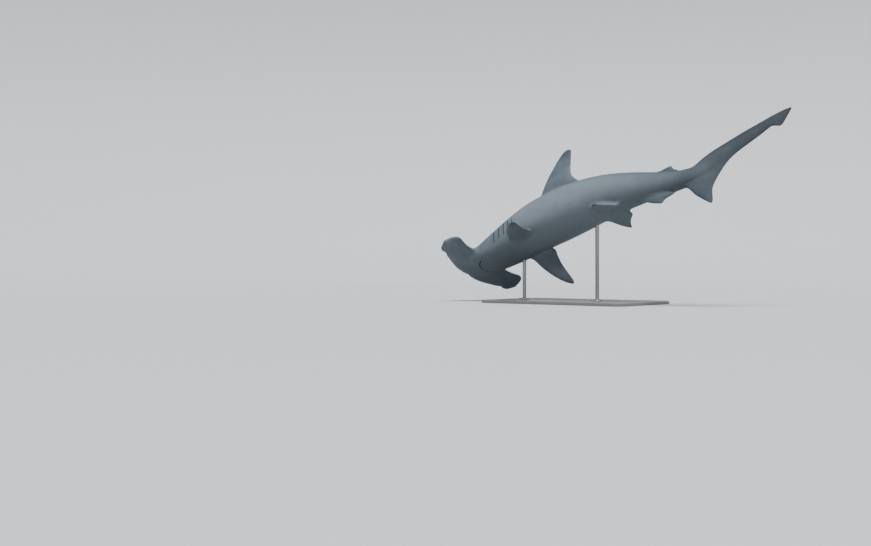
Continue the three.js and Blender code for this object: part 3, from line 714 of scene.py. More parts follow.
# The skin, shaped in edit mode

LAYER_NAMES = ("column", "row", "part", "shade", "dusk_and_shade", "station", "groove")
BODY, CAP, LOBE, FIN = 0, 1, 2, 3
LATTICE_Y = 100.0

# How far from the middle each ring of the hammer's two sides lies

LOBE_STEPS = [
    0.0505, 0.056, 0.062, 0.068, 0.074, 0.080, 0.086, 0.0905, 0.0945, 0.098, 0.1005, 0.103, 0.1055,
    0.108, 0.111, 0.1145, 0.118, 0.121, 0.1238, 0.1262, 0.128, HAMMER_REACH,
]
TAIL_ROOT = 0.69

# Where the roots are smoothed: from which station on, how many rings wide, and how often

ROOT_SMOOTHING = [(0, 1, 3), (TAIL_ROOT, 3, 6)]


def start_piece(name, add_primitive, **sizes):
    """Adds a primitive with nothing else selected, and leaves it in edit mode."""
    bpy.ops.object.select_all(action="DESELECT")
    add_primitive(**sizes)
    piece = bpy.context.object
    piece.name = name
    bpy.ops.object.mode_set(mode="EDIT")
    return piece


def edit_mesh(piece):
    """The piece's mesh in edit mode, and the skin's layers by name."""
    mesh = bmesh.from_edit_mesh(piece.data)
    layers = mesh.verts.layers.float
    return mesh, SimpleNamespace(**{name: layers.get(name) for name in LAYER_NAMES})


def select_where(piece, kind, test):
    """Selects only the points, edges or faces that pass a test."""
    bpy.ops.mesh.select_mode(type=kind)
    bpy.ops.mesh.select_all(action="DESELECT")
    mesh, layers = edit_mesh(piece)
    for one in {"VERT": mesh.verts, "EDGE": mesh.edges, "FACE": mesh.faces}[kind]:
        one.select = bool(test(one, layers))
    mesh.select_flush_mode()
    bmesh.update_edit_mesh(piece.data)


def close_piece(edge_angle, inside=False):
    """Turns all faces outwards or inwards, leaves edit mode and smooths up to an angle."""
    bpy.ops.mesh.select_all(action="SELECT")
    bpy.ops.mesh.normals_make_consistent(inside=inside)
    bpy.ops.object.mode_set(mode="OBJECT")
    bpy.ops.object.transform_apply(location=True, rotation=True, scale=True)
    bpy.ops.object.shade_smooth_by_angle(angle=math.radians(edge_angle))


def finish_piece(piece, slot, material, *nodes):
    """Gives the piece its finish, hangs it on the root body, and hides the solids it stands for."""
    piece.data.materials.clear()
    piece.data.materials.append(material)
    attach(piece, "root")
    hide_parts(*nodes)


def lobe_shade(level):
    return LOBE_SHADE - LOBE_SHADE_HALF * level


def hammer_shade(column):
    """The shade of the hammer's middle, which meets that of its two sides."""
    size = abs(column)
    if size <= SIDE_TOP:
        return lobe_shade(1) * size / SIDE_TOP
    if size <= SIDE_LOW:
        return lobe_shade(side_level(column))
    share = (size - SIDE_LOW) / (HALF_COLUMNS - SIDE_LOW)
    return lobe_shade(-1) + (THROAT_SHADE - lobe_shade(-1)) * share


def signed_column(vert, layers):
    column = vert[layers.column]
    return column if column <= HALF_COLUMNS else column - COLUMNS


def place_body_vert(vert, layers):
    row, column = vert[layers.row], signed_column(vert, layers)
    vert.co = skin_point(row, column)
    station, _, _, dark, half = ring_values(row)
    angle = column_angle(station, column)
    along = smooth_step(NECK_START, 1, row / HAMMER_RINGS)
    shade = hammer_shade(column)
    vert[layers.shade] = shade + (abs(angle) / math.pi - shade) * along
    # Painted shade inside the gill slits.
    vert[layers.groove] = dark * gill_share(station, angle, half)
    if row < HAMMER_RINGS:
        station *= row / HAMMER_RINGS
    vert[layers.station] = station
    # Dusky tone of the tail, with painted shade on the hammer, the gills and the tail.
    vert[layers.dusk_and_shade] = BODY_DUSK_AND_SHADE(station if row >= HAMMER_RINGS else 0)


def lattice_place(column):
    """Where a point of the front ring waits while the front is closed."""
    size = abs(column)
    if size <= SIDE_TOP:
        return Vector((column, LATTICE_Y, SIDE_CELLS / 2))
    if size >= SIDE_LOW:
        return Vector((math.copysign(HALF_COLUMNS - size, column), LATTICE_Y, -SIDE_CELLS / 2))
    return Vector((math.copysign(SIDE_TOP, column), LATTICE_Y, SIDE_CELLS / 2 - (size - SIDE_TOP)))


def lattice_column(place):
    """The front ring's column at a place of the lattice, or None inside it."""
    x, z = round(place.x), round(place.z)
    if z == SIDE_CELLS // 2:
        return x
    if z == -SIDE_CELLS // 2:
        return HALF_COLUMNS - x if x >= 0 else -HALF_COLUMNS - x
    if abs(x) == SIDE_TOP:
        return math.copysign(SIDE_TOP + SIDE_CELLS / 2 - z, x)
    return None


def start_cage():
    """A flat grid rolled up into the body, open in front."""
    piece = start_piece(
        "shark_skin", bpy.ops.mesh.primitive_grid_add,
        x_subdivisions=COLUMNS, y_subdivisions=LAST_RING, size=2,
    )
    for name in LAYER_NAMES:
        bmesh.from_edit_mesh(piece.data).verts.layers.float.new(name)
    mesh, layers = edit_mesh(piece)
    for vert in mesh.verts:
        vert[layers.column] = round((vert.co.x + 1) / 2 * COLUMNS)
        vert[layers.row] = round((vert.co.y + 1) / 2 * LAST_RING)
        place_body_vert(vert, layers)
        if vert[layers.row] == 0:
            vert.co = lattice_place(signed_column(vert, layers))
    bmesh.update_edit_mesh(piece.data)
    bpy.ops.mesh.select_all(action="SELECT")
    bpy.ops.mesh.remove_doubles(threshold=TINY)
    return piece


def close_front(piece):
    """Draws the front ring's upper edge down over the opening, then bends it to the hammer."""

    def on_upper_edge(edge, layers):
        return all(
            vert[layers.row] == 0 and abs(signed_column(vert, layers)) <= SIDE_TOP for vert in edge.verts
        )

    select_where(piece, "EDGE", on_upper_edge)
    for _ in range(SIDE_CELLS):
        bpy.ops.mesh.extrude_region()
        bpy.ops.transform.translate(value=(0, 0, -1))
    bpy.ops.mesh.select_all(action="SELECT")
    bpy.ops.mesh.remove_doubles(threshold=1e-4)
    mesh, layers = edit_mesh(piece)
    for vert in [one for one in mesh.verts if one.co.y > LATTICE_Y / 2]:
        column = lattice_column(vert.co)
        if column is None:
            level = round(vert.co.z) / (SIDE_CELLS / 2)
            vert[layers.part] = CAP
            vert[layers.shade] = lobe_shade(level)
            # Painted shade on the hammer's front.
            vert[layers.dusk_and_shade] = BODY_DUSK_AND_SHADE(0)
            vert.co = middle_point(0, vert.co.x / SIDE_TOP, level)
        else:
            vert[layers.part] = BODY
            vert[layers.column] = column % COLUMNS
            vert[layers.row] = 0
            place_body_vert(vert, layers)
    bmesh.update_edit_mesh(piece.data)


def draw_out(piece, part, steps, place):
    """Extrudes the selection step by step; place gives a point, its shade and its dusky, shaded tone."""
    for step in steps:
        bpy.ops.mesh.extrude_region()
        mesh, layers = edit_mesh(piece)
        for vert in mesh.verts:
            if vert.select:
                vert[layers.part] = part
                row, column = vert[layers.row], signed_column(vert, layers)
                vert.co, vert[layers.shade], vert[layers.dusk_and_shade] = place(row, column, step)
        bmesh.update_edit_mesh(piece.data)


def draw_lobe(piece, side):
    """Pulls one side of the hammer out of the neck's front."""

    def on_side(face, layers):
        return all(
            vert[layers.part] == BODY
            and vert[layers.row] <= HAMMER_RINGS
            and SIDE_TOP <= side * signed_column(vert, layers) <= SIDE_LOW
            for vert in face.verts
        )

    def place(row, column, across):
        # The hammer's sides carry painted shade.
        return lobe_point(side * across, row, column), lobe_shade(side_level(column)), BODY_DUSK_AND_SHADE(0)

    select_where(piece, "FACE", on_side)
    draw_out(piece, LOBE, LOBE_STEPS, place)


def draw_fin(piece, fin):
    """Pulls a fin out of the body, ring by ring up to its tip."""
    first, last = fin.patch()
    start, end = ring_values(first)[0], ring_values(last)[0]

    def on_root(face, layers):
        return all(
            vert[layers.part] == BODY
            and first <= vert[layers.row] <= last
            and abs(fin.face_of(signed_column(vert, layers))) <= 1
            and (not fin.side or signed_column(vert, layers) * fin.side > 0)
            for vert in face.verts
        )

    def place(row, column, span):
        station, face = ring_values(row)[0], fin.face_of(column)
        share, even = (station - start) / (end - start), (row - first) / (last - first)
        # The fin's dusky tip, with painted shade where the body beside it or the plan has it.
        return fin.point(share, even, face, span), fin.shade(face), fin.dusk_and_shade(station, span)

    select_where(piece, "FACE", on_root)
    clear = FIRST_RING_CLEAR
    if fin.side:
        clear += max(fin.exit(ring_values(row)[0])[1] for row in range(first, last + 1))
    lowest = clear / (fin.height * TOTAL_LENGTH)
    turns = [math.sin(turn) ** RING_BUNCHING for turn in spread(0, math.pi / 2, fin.rings)]
    draw_out(piece, FIN, [lowest + (1 - lowest) * turn for turn in turns], place)


def mouth_line(share):
    back = MOUTH_FRONT + (MOUTH_CORNER - MOUTH_FRONT) * abs(share) ** MOUTH_CURVE
    return back * TOTAL_LENGTH, share * MOUTH_HALF_WIDTH * TOTAL_LENGTH


MOUTH_LINE = np.array([mouth_line(share) for share in spread(-1, 1, 2 * MOUTH_STEPS)])


def refine_mouth(piece):
    """Splits the faces along the mouth, and sets the new points on the head's own curve."""

    def by_mouth(face, layers):
        if any(vert[layers.part] != BODY for vert in face.verts):
            return False
        offset = face.calc_center_median() - HEAD[0]
        back, left, up = (offset.dot(axis) for axis in HEAD[1:])
        away = np.hypot(MOUTH_LINE[:, 0] - back, MOUTH_LINE[:, 1] - left).min()
        return up < 0 and away < MOUTH_BAND * TOTAL_LENGTH

    select_where(piece, "FACE", by_mouth)
    bpy.ops.mesh.subdivide(number_cuts=3, quadcorner="INNERVERT")
    mesh, layers = edit_mesh(piece)
    for vert in mesh.verts:
        if vert.select and vert[layers.part] == BODY:
            place_body_vert(vert, layers)
    bmesh.update_edit_mesh(piece.data)


def smooth_roots(piece):
    """Softens the crease where each fin leaves the body, and the long one of the tail the most."""
    for start, rings, repeat in ROOT_SMOOTHING:

        def at_root(vert, layers):
            parts = {one[layers.part] for edge in vert.link_edges for one in edge.verts}
            return FIN in parts and len(parts) > 1 and vert[layers.station] >= start

        select_where(piece, "VERT", at_root)
        for _ in range(rings):
            bpy.ops.mesh.select_more()
        bpy.ops.mesh.vertices_smooth(factor=0.5, repeat=repeat)


def subdivide_once(piece):
    subdivision = piece.modifiers.new("subdivision", "SUBSURF")
    subdivision.levels = subdivision.render_levels = 1
    bpy.ops.object.modifier_apply(modifier=subdivision.name)


# Small forms of the head, carved into the finished skin. A lip, rim, lid, fold or notch has its
# height, the place of its middle and its width. The other pairs are the distances between which a
# form fades, apart from the first, which bounds the search for the mouth. The dark values set where
# and how strongly painted shade darkens the mouth's cleft, the nostrils, the nose furrows and the
# eye sockets.

MOUTH_BACK, MOUTH_SIDE = (0.11, 0.29), 0.12
LIP = (0.0034, 0.0062, 0.0036)
CLEFT_DEPTH, CLEFT_WALL, CLEFT_DARK = 0.0120, (0.0006, 0.0034), (0.0010, 0.0046)
JAW_DEPTH, JAW_START, JAW_END = 0.0030, (0.002, 0.012), (0.02, 0.06)
CORNER_FADE, CORNER_WIDTH = (0.72, 1), 0.45

NOSTRIL_ANGLE, NOSTRIL_SIZE = math.pi * 0.62, (0.0085, 0.0150, 0.0075)
NOSTRIL_DEPTH, NOSTRIL_WALL, NOSTRIL_DARK = 0.0075, (0.35, 1.0), (0.55, 1.05)
NOSTRIL_RIM = (0.0012, 1.2, 0.22)
INTO_NOSE = (0.6, 0, 0.8)

NOSE_GROOVE_ANGLE, NOSE_GROOVE_DEPTH, NOSE_GROOVE_DARK = math.pi * 0.60, 0.0030, 0.6
NOSE_GROOVE_WALL, NOSE_GROOVE_START, NOSE_BACK = (0.0008, 0.0045), 0.3, 0.1

EYE_END = (0.118, 0.124)
LID = (0.0036, 0.0172, 0.0028)
FOLD = (0.0016, 0.0245, 0.0022)
SOCKET_DEPTH, SOCKET_WALL, SOCKET_DARK = 0.0110, (0.0105, 0.0150), (0.0145, 0.0175)

NOTCH, NOTCH_SHADES = (0.0050, 0.6905, 0.0032), (0.02, 0.30)


def fall(bounds, x):
    """1 up to the first bound and 0 from the second on."""
    return 1 - smooth_step(*bounds, x)


def swell(height, middle, width, x):
    """A rounded form, highest or deepest at its middle."""
    return height * np.exp(-(((x - middle) / width) ** 2))


def carve_mouth(local, shift, groove):
    """The closed mouth: two lips, the cleft between them, and the jaw sunk a little behind it."""
    back, left, up = local.T
    near = (up < 0) & (back > MOUTH_BACK[0]) & (back < MOUTH_BACK[1]) & (np.abs(left) < MOUTH_SIDE)
    rows = np.nonzero(near)[0]
    gaps = np.hypot(back[rows, None] - MOUTH_LINE[:, 0], left[rows, None] - MOUTH_LINE[:, 1])
    nearest, away = gaps.argmin(1), gaps.min(1)
    fade = fall(CORNER_FADE, np.abs(nearest / MOUTH_STEPS - 1))
    away /= CORNER_WIDTH + (1 - CORNER_WIDTH) * fade
    cleft = CLEFT_DEPTH * fall(CLEFT_WALL, away) - swell(*LIP, away)
    jaw = JAW_DEPTH * smooth_step(*JAW_START, away) * fall(JAW_END, away)
    shift[rows, 2] = fade * (cleft - jaw * (back[rows] > MOUTH_LINE[nearest, 0]))
    # Painted shade inside the mouth's cleft.
    groove[rows] = np.maximum(groove[rows], fade * fall(CLEFT_DARK, away))


def carve_nose(local, shift, groove, side):
    """The nostril with its rim, and the furrow that runs to it along the hammer's front, both with painted
    shade.
    """
    nostril = np.array(hammer_point(side * NOSTRIL_ACROSS, NOSTRIL_ANGLE)) * TOTAL_LENGTH
    ring = np.sqrt((((local - nostril) / NOSTRIL_SIZE) ** 2).sum(1))
    depth = NOSTRIL_DEPTH * fall(NOSTRIL_WALL, ring) - swell(*NOSTRIL_RIM, ring)
    shift += np.outer(depth, INTO_NOSE)
    # Painted shade inside the nostril.
    groove[:] = np.maximum(groove, fall(NOSTRIL_DARK, ring))

    across = side * local[:, 1] / TOTAL_LENGTH
    beside = (across > NOSE_GROOVE_INNER) & (across < NOSTRIL_ACROSS) & (local[:, 0] < NOSE_BACK)
    rows = np.nonzero(beside)[0]
    line = np.array([hammer_point(a, NOSE_GROOVE_ANGLE) for a in across[rows]]) * TOTAL_LENGTH
    away = np.hypot(local[rows, 0] - line[:, 0], local[rows, 2] - line[:, 2])
    run = (across[rows] - NOSE_GROOVE_INNER) / (NOSTRIL_ACROSS - NOSE_GROOVE_INNER)
    depth = smooth_step(0, NOSE_GROOVE_START, run) * fall(NOSE_GROOVE_WALL, away)
    shift[rows] += np.outer(NOSE_GROOVE_DEPTH * depth, INTO_NOSE)
    # Painted shade along the nose furrow.
    groove[rows] = np.maximum(groove[rows], NOSE_GROOVE_DARK * depth)


def carve_lids(local, shift, groove, side):
    """The lid round the eye, the fold outside it, and the socket that the eyeball sits in."""
    away = np.hypot(local[:, 0] - EYE_STATION * TOTAL_LENGTH, local[:, 2])
    at_end = smooth_step(*EYE_END, side * local[:, 1] / TOTAL_LENGTH)
    lid = swell(*LID, away) - swell(*FOLD, away) - SOCKET_DEPTH * fall(SOCKET_WALL, away)
    shift[:, 1] += side * at_end * lid
    # Painted shade in the eye socket.
    groove[:] = np.maximum(groove, at_end * fall(SOCKET_DARK, away))


def attribute_values(piece, name):
    values = np.zeros(len(piece.data.vertices), np.float32)
    piece.data.attributes[name].data.foreach_get("value", values)
    return values


def carve_details(piece):
    """Carves the head, and the short cross notch in the back just before the tail fin."""
    mesh = piece.data
    flat = np.zeros(len(mesh.vertices) * 3, np.float32)
    mesh.vertices.foreach_get("co", flat)
    points = flat.reshape(-1, 3).astype(float)
    groove, station, shade, part = (
        attribute_values(piece, name) for name in ("groove", "station", "shade", "part")
    )
    axes = np.array(HEAD[1:])
    local = (points - np.array(HEAD[0])) @ axes.T
    shift = np.zeros_like(local)
    carve_mouth(local, shift, groove)
    for side in (1, -1):
        carve_nose(local, shift, groove, side)
        carve_lids(local, shift, groove, side)
    notch = swell(*NOTCH, station) * fall(NOTCH_SHADES, shade)
    points += shift @ axes - np.outer(notch * (part < TINY), spine_frame(TAIL_ROOT)[3])
    mesh.vertices.foreach_set("co", points.astype(np.float32).ravel())
    # Keeps the painted shade of the clefts for the skin's material.
    mesh.attributes["groove"].data.foreach_set("value", groove)
    mesh.update()


# Materials


def set_inputs(tree, made, inputs):
    """Joins a node's inputs to other nodes, or sets them to plain values."""
    for socket, value in inputs.items():
        if isinstance(value, bpy.types.NodeSocket):
            tree.links.new(value, made.inputs[socket])
        else:
            made.inputs[socket].default_value = value


def node(tree, kind, inputs=None, **settings):
    made = tree.nodes.new("ShaderNode" + kind)
    for name, value in settings.items():
        setattr(made, name, value)
    set_inputs(tree, made, inputs or {})
    return made


def blended(tree, factor, first, second):
    return node(tree, "Mix", {0: factor, 6: first, 7: second}, data_type="RGBA").outputs[2]


def calculated(tree, operation, *values):
    return node(tree, "Math", dict(enumerate(values)), operation=operation).outputs[0]


def remapped(tree, value, low, high, to_low=0.0, to_high=1.0):
    inputs = {"Value": value, "From Min": low, "From Max": high, "To Min": to_low, "To Max": to_high}
    return node(tree, "MapRange", inputs, interpolation_type="SMOOTHSTEP").outputs[0]


def stretched(tree, place, scale):
    return node(tree, "Mapping", {"Vector": place, "Scale": scale}).outputs[0]


def noise(tree, place, scale, detail, roughness=0.55):
    inputs = {"Vector": place, "Scale": scale, "Detail": detail, "Roughness": roughness}
    return node(tree, "TexNoise", inputs).outputs["Fac"]


def bumped(tree, height, strength, distance):
    inputs = {"Strength": strength, "Distance": distance, "Height": height}
    return node(tree, "Bump", inputs).outputs["Normal"]


def surface_attribute(tree, name):
    return node(tree, "Attribute", attribute_name=name).outputs["Fac"]


def colour(value, strength=1.0, lift=0.0):
    return (*(part * strength + lift for part in value), 1.0)


def start_material(name):
    """A new material, its nodes, and the place on the piece that its patterns are made from."""
    material = bpy.data.materials.new(name)
    material.use_nodes = True
    return material, material.node_tree, node(material.node_tree, "TexCoord").outputs["Object"]


def finish_material(material, inputs):
    set_inputs(material.node_tree, material.node_tree.nodes["Principled BSDF"], inputs)
    return material


def patchy_group():
    """Soft blotches of two sizes over a surface, about 0.5 on the average."""
    name = "soft blotches"
    if name in bpy.data.node_groups:
        return bpy.data.node_groups[name]
    group = bpy.data.node_groups.new(name, "ShaderNodeTree")
    add_socket = group.interface.new_socket
    add_socket("Place", in_out="INPUT", socket_type="NodeSocketVector")
    for label, usual in (("Blotches per metre", 8.0), ("Share of fine ones", 0.4)):
        add_socket(label, in_out="INPUT", socket_type="NodeSocketFloat").default_value = usual
    add_socket("Blotch", in_out="OUTPUT", socket_type="NodeSocketFloat")
    place, per_metre, fine = group.nodes.new("NodeGroupInput").outputs[:3]
    broad = noise(group, place, per_metre, detail=3.0)
    small = noise(group, place, calculated(group, "MULTIPLY", per_metre, 7.3), detail=5.0)
    mixed = node(group, "Mix", {0: fine, 2: broad, 3: small}, data_type="FLOAT").outputs[0]
    group.links.new(mixed, group.nodes.new("NodeGroupOutput").inputs[0])
    return group


def blotches(tree, place, per_metre, fine):
    inputs = {0: place, 1: per_metre, 2: fine}
    return node(tree, "Group", inputs, node_tree=patchy_group()).outputs[0]


def skin_material(settings):
    material, tree, place = start_material("shark skin")
    shade, dusk_and_shade, groove = (surface_attribute(tree, name) for name in ("shade", "dusk_and_shade", "groove"))
    blotch = blotches(tree, place, per_metre=9.0, fine=0.35)
    wander = calculated(tree, "MULTIPLY_ADD", blotch, 0.30, -0.15)
    border = calculated(tree, "ADD", shade, wander)
    low, high = settings.border - settings.border_width, settings.border + settings.border_width
    freckle = remapped(tree, noise(tree, place, 210.0, detail=2.0), 0.62, 0.72, 0.0, 0.16)
    layers = [
        (remapped(tree, border, 0.04, 0.40), settings.flank_colour),
        (remapped(tree, blotch, 0.30, 0.70, 0.0, 0.5), settings.mottle_colour),
        # The belly's tone is painted shade, darker than the flank.
        (remapped(tree, border, low, high), settings.shaded_belly_colour),
        (freckle, settings.ridge_colour),
        # Dusky tail and fin tips, and painted shade on the hammer, the gills, the tail and the anal fin.
        (calculated(tree, "MULTIPLY", dusk_and_shade, settings.dusk_and_shade), settings.dusk_and_shade_colour),
        # Painted shade inside the gill slits, mouth, nostrils, nose furrows and eye sockets.
        (calculated(tree, "MULTIPLY", groove, 0.92), settings.cleft_shade_colour),
    ]
    body = colour(settings.ridge_colour)
    for cover, paint in layers:
        body = blended(tree, cover, body, colour(paint))
    rough = remapped(tree, blotch, 0.25, 0.75, 0.54, 0.70)
    folds = noise(tree, stretched(tree, place, (30.0, 90.0, 90.0)), 1.0, detail=4.0)
    grain = calculated(tree, "MULTIPLY_ADD", folds, 0.6, noise(tree, place, 900.0, detail=2.0))
    return finish_material(material, {
        "Base Color": body,
        "Roughness": calculated(tree, "MULTIPLY_ADD", dusk_and_shade, 0.2, rough),
        "Normal": bumped(tree, grain, strength=0.35, distance=0.0012),
        "Specular IOR Level": 0.20,
    })


def eye_material(settings):
    material, tree, place = start_material("shark eye")
    rim = surface_attribute(tree, "rim")
    fleck = remapped(tree, noise(tree, place, 420.0, detail=3.0), 0.35, 0.65)
    iris = blended(tree, fleck, colour(settings.iris_colour), FLECK_COLOUR)
    iris = blended(tree, remapped(tree, rim, IRIS_ANGLE - 0.10, IRIS_ANGLE), iris, EYE_RING_COLOUR)
    pupil = remapped(tree, rim, PUPIL_ANGLE, PUPIL_ANGLE + 0.06, 1.0, 0.0)
    return finish_material(material, {
        "Base Color": blended(tree, pupil, iris, PUPIL_COLOUR),
        "Roughness": 0.12, "Coat Weight": 1.0, "Coat Roughness": 0.03,
    })


def board_material(settings):
    material, tree, place = start_material("painted stand board")
    grain = noise(tree, stretched(tree, place, (3.0, 42.0, 42.0)), 2.2, detail=5.0, roughness=0.6)
    blotch = blotches(tree, place, per_metre=5.0, fine=0.5)
    base, lighter = colour(settings.board_colour), colour(settings.board_colour, 1.35, 0.01)
    return finish_material(material, {
        "Base Color": blended(tree, remapped(tree, blotch, 0.3, 0.7, 0.0, 0.6), base, lighter),
        "Roughness": remapped(tree, blotch, 0.3, 0.7, 0.38, 0.52),
        "Normal": bumped(tree, grain, strength=0.25, distance=0.0006),
    })


def rod_material(settings):
    material, tree, place = start_material("brushed stand steel")
    brushed = noise(tree, stretched(tree, place, (9.0, 9.0, 900.0)), 1.0, detail=3.0)
    blotch = blotches(tree, place, per_metre=30.0, fine=0.5)
    base, darker = colour(settings.steel_colour), colour(settings.steel_colour, 0.72)
    return finish_material(material, {
        "Base Color": blended(tree, brushed, darker, base),
        "Roughness": remapped(tree, blotch, 0.3, 0.7, 0.24, 0.38),
        "Normal": bumped(tree, brushed, strength=0.12, distance=0.0004),
        "Metallic": 1.0,
    })


def studio_material(settings):
    material, tree, place = start_material("studio paper")
    blotch = blotches(tree, place, per_metre=0.6, fine=0.3)
    base, darker = colour(settings.floor_colour), colour(settings.floor_colour, 0.96)
    return finish_material(material, {"Base Color": blended(tree, blotch, darker, base), "Roughness": 0.85})


class SHARK_OT_skin(Operator):
    """Shape the whole skin: body, hammer, gills, mouth and fins in one mesh"""

    bl_idname = "shark.skin"
    bl_label = "Skin"

    def execute(self, context):
        piece = start_cage()
        close_front(piece)
        for side in (1, -1):
            draw_lobe(piece, side)
        for fin in DORSALS + VENTRALS + PAIRED:
            draw_fin(piece, fin)
        smooth_roots(piece)
        refine_mouth(piece)
        close_piece(edge_angle=180)
        subdivide_once(piece)
        carve_details(piece)
        finish_piece(
            piece, "skin", skin_material(context.scene.shark_model), "head", "gill_region", "trunk",
            "tail", "caudal_upper", "caudal_lower", "dorsal_first", "dorsal_second", "anal_fin",
            "pectoral_left", "pectoral_right", "pelvic_left", "pelvic_right",
        )
        return {"FINISHED"}


# Eyes

IRIS_ANGLE = 0.98
PUPIL_ANGLE = 0.42
FLECK_COLOUR = (0.060, 0.050, 0.028, 1)
EYE_RING_COLOUR = (0.020, 0.022, 0.024, 1)
PUPIL_COLOUR = (0.004, 0.004, 0.005, 1)
CORNEA = (0.0012, 0, 0.55)


def eye_ball(name, side, radius):
    """An eyeball with a raised cornea, which looks out of one end of the hammer."""
    piece = start_piece(name, bpy.ops.mesh.primitive_uv_sphere_add, segments=48, ring_count=32, radius=radius)
    mesh = bmesh.from_edit_mesh(piece.data)
    rim = mesh.verts.layers.float.new("rim")
    across = HAMMER_REACH * TOTAL_LENGTH + EYE_PROUD - radius
    centre = from_frame(HEAD, EYE_STATION * TOTAL_LENGTH, side * across, 0)
    for vert in mesh.verts:
        vert[rim] = Vector((0, 0, 1)).angle(vert.co)
        reach = vert.co * (1 + swell(*CORNEA, vert[rim]) / radius)
        vert.co = centre + HEAD[1] * reach.x + HEAD[3] * reach.y + HEAD[2] * side * reach.z
    bmesh.update_edit_mesh(piece.data)
    close_piece(edge_angle=180)
    return piece


class SHARK_OT_eyes(Operator):
    """Set a glossy eye in each end of the hammer"""

    bl_idname = "shark.eyes"
    bl_label = "Eyes"

    def execute(self, context):
        settings = context.scene.shark_model
        material = eye_material(settings)
        for name, side in (("left", 1), ("right", -1)):
            ball = eye_ball("eye_ball_" + name, side, settings.eye_radius)
            finish_piece(ball, "eye", material, "eye_" + name)
        return {"FINISHED"}


# Stand

BOARD_SIZE = (1.1, 0.7, 0.02)
BOARD_CORNER = 0.09
BOARD_EDGE = 0.003
ROD_STATIONS = {"front": 0.208, "rear": 0.45}
ROD_END = 0.05
FOOT_RADIUS = 0.046
FOOT_HEIGHT = 0.008
JOINT_GAP = 0.0003

# The turned edge and collar of a rod's foot: inwards and upwards from its edge or its rod

FOOT_EDGE = [(0, 0.6), (0.0012, 0.88), (0.0035, 1)]
COLLAR = [(0.006, 0), (0.0022, 0.0016), (0, 0.006)]


def draw_up(profile, middle, width, height):
    """Extrudes what is selected upwards through the widths and heights of a profile."""
    for new_width, new_height in profile:
        bpy.ops.mesh.extrude_region()
        bpy.ops.transform.translate(value=(0, 0, new_height - height))
        growth = new_width / width
        bpy.ops.transform.resize(value=(growth, growth, 1), center_override=(*middle, new_height))
        width, height = new_width, new_height


def stand_board():
    middle = (0, 0, BOARD_SIZE[2] / 2)
    piece = start_piece("stand_board", bpy.ops.mesh.primitive_cube_add, size=1, location=middle)
    bpy.ops.transform.resize(value=BOARD_SIZE, center_override=middle)

    def is_upright(edge):
        return abs(edge.verts[0].co.z - edge.verts[1].co.z) > BOARD_EDGE

    select_where(piece, "EDGE", lambda edge, layers: is_upright(edge))
    bpy.ops.mesh.bevel(offset=BOARD_CORNER, segments=20)
    select_where(piece, "EDGE", lambda edge, layers: not is_upright(edge))
    bpy.ops.mesh.bevel(offset=BOARD_EDGE, segments=3)
    close_piece(edge_angle=30)
    return piece


def stand_rod(name, station, radius):
    """A rod with a turned foot. It ends inside the shark's body."""
    x, y, z = spine_frame(station)[0]
    foot = BOARD_SIZE[2] + JOINT_GAP
    piece = start_piece(
        "stand_rod_" + name + "_turned", bpy.ops.mesh.primitive_circle_add,
        vertices=48, radius=FOOT_RADIUS, fill_type="NGON", location=(x, y, foot),
    )
    bpy.ops.mesh.select_all(action="SELECT")
    edge = [(FOOT_RADIUS - inwards, foot + FOOT_HEIGHT * share) for inwards, share in FOOT_EDGE]
    collar = [(radius + outwards, foot + FOOT_HEIGHT + rise) for outwards, rise in COLLAR]
    draw_up([*edge, *collar, (radius, z - ROD_END)], (x, y), FOOT_RADIUS, foot)
    close_piece(edge_angle=40)
    return piece


class SHARK_OT_stand(Operator):
    """Make the board and the two turned rods that carry the shark"""

    bl_idname = "shark.stand"
    bl_label = "Stand"

    def execute(self, context):
        settings = context.scene.shark_model
        finish_piece(stand_board(), "stand_board", board_material(settings), "stand_base")
        steel = rod_material(settings)
        for name, station in ROD_STATIONS.items():
            rod = stand_rod(name, station, settings.rod_radius)
            finish_piece(rod, "stand_steel", steel, "stand_rod_" + name)
        return {"FINISHED"}


# Studio

CAMERA_PLACE = (3.0213, -4.8653, 0.202)
CAMERA_TURN = 0.7171
FLOOR_RADIUS = 8.0
WALL_RADIUS = 11.0
WALL_TURN = math.radians(78)
WALL_RINGS = 24
SHARK_MIDDLE = Vector((0, 0, 0.6))
OVERHEAD_PLACE, OVERHEAD_SOFTNESS = Vector((1.1, -1.6, 6.0)), math.radians(34)
BESIDE_PLACE, BESIDE_SIZE = Vector((4.5, -5.5, 2.6)), 3.0
AIR_COLOUR = (0.84, 0.89, 0.95, 1)


def studio_bowl():
    """A floor that curves up into a wall all round the shark."""
    piece = start_piece(
        "studio_bowl", bpy.ops.mesh.primitive_circle_add,
        vertices=128, radius=FLOOR_RADIUS, fill_type="TRIFAN",
    )

    def on_rim(edge, layers):
        return all(vert.co.length > FLOOR_RADIUS / 2 for vert in edge.verts)

    select_where(piece, "EDGE", on_rim)
    wall = [
        (FLOOR_RADIUS + WALL_RADIUS * math.sin(turn), WALL_RADIUS * (1 - math.cos(turn)))
        for turn in spread(0, WALL_TURN, WALL_RINGS)[1:]
    ]
    draw_up(wall, (0, 0), FLOOR_RADIUS, 0.0)
    close_piece(edge_angle=30, inside=True)
    return piece


def add_light(kind, name, place, power):
    bpy.ops.object.light_add(type=kind, location=place)
    light = bpy.context.object
    light.name = name
    light.data.energy = power
    light.rotation_euler = (SHARK_MIDDLE - place).to_track_quat("-Z", "Y").to_euler()
    return light.data


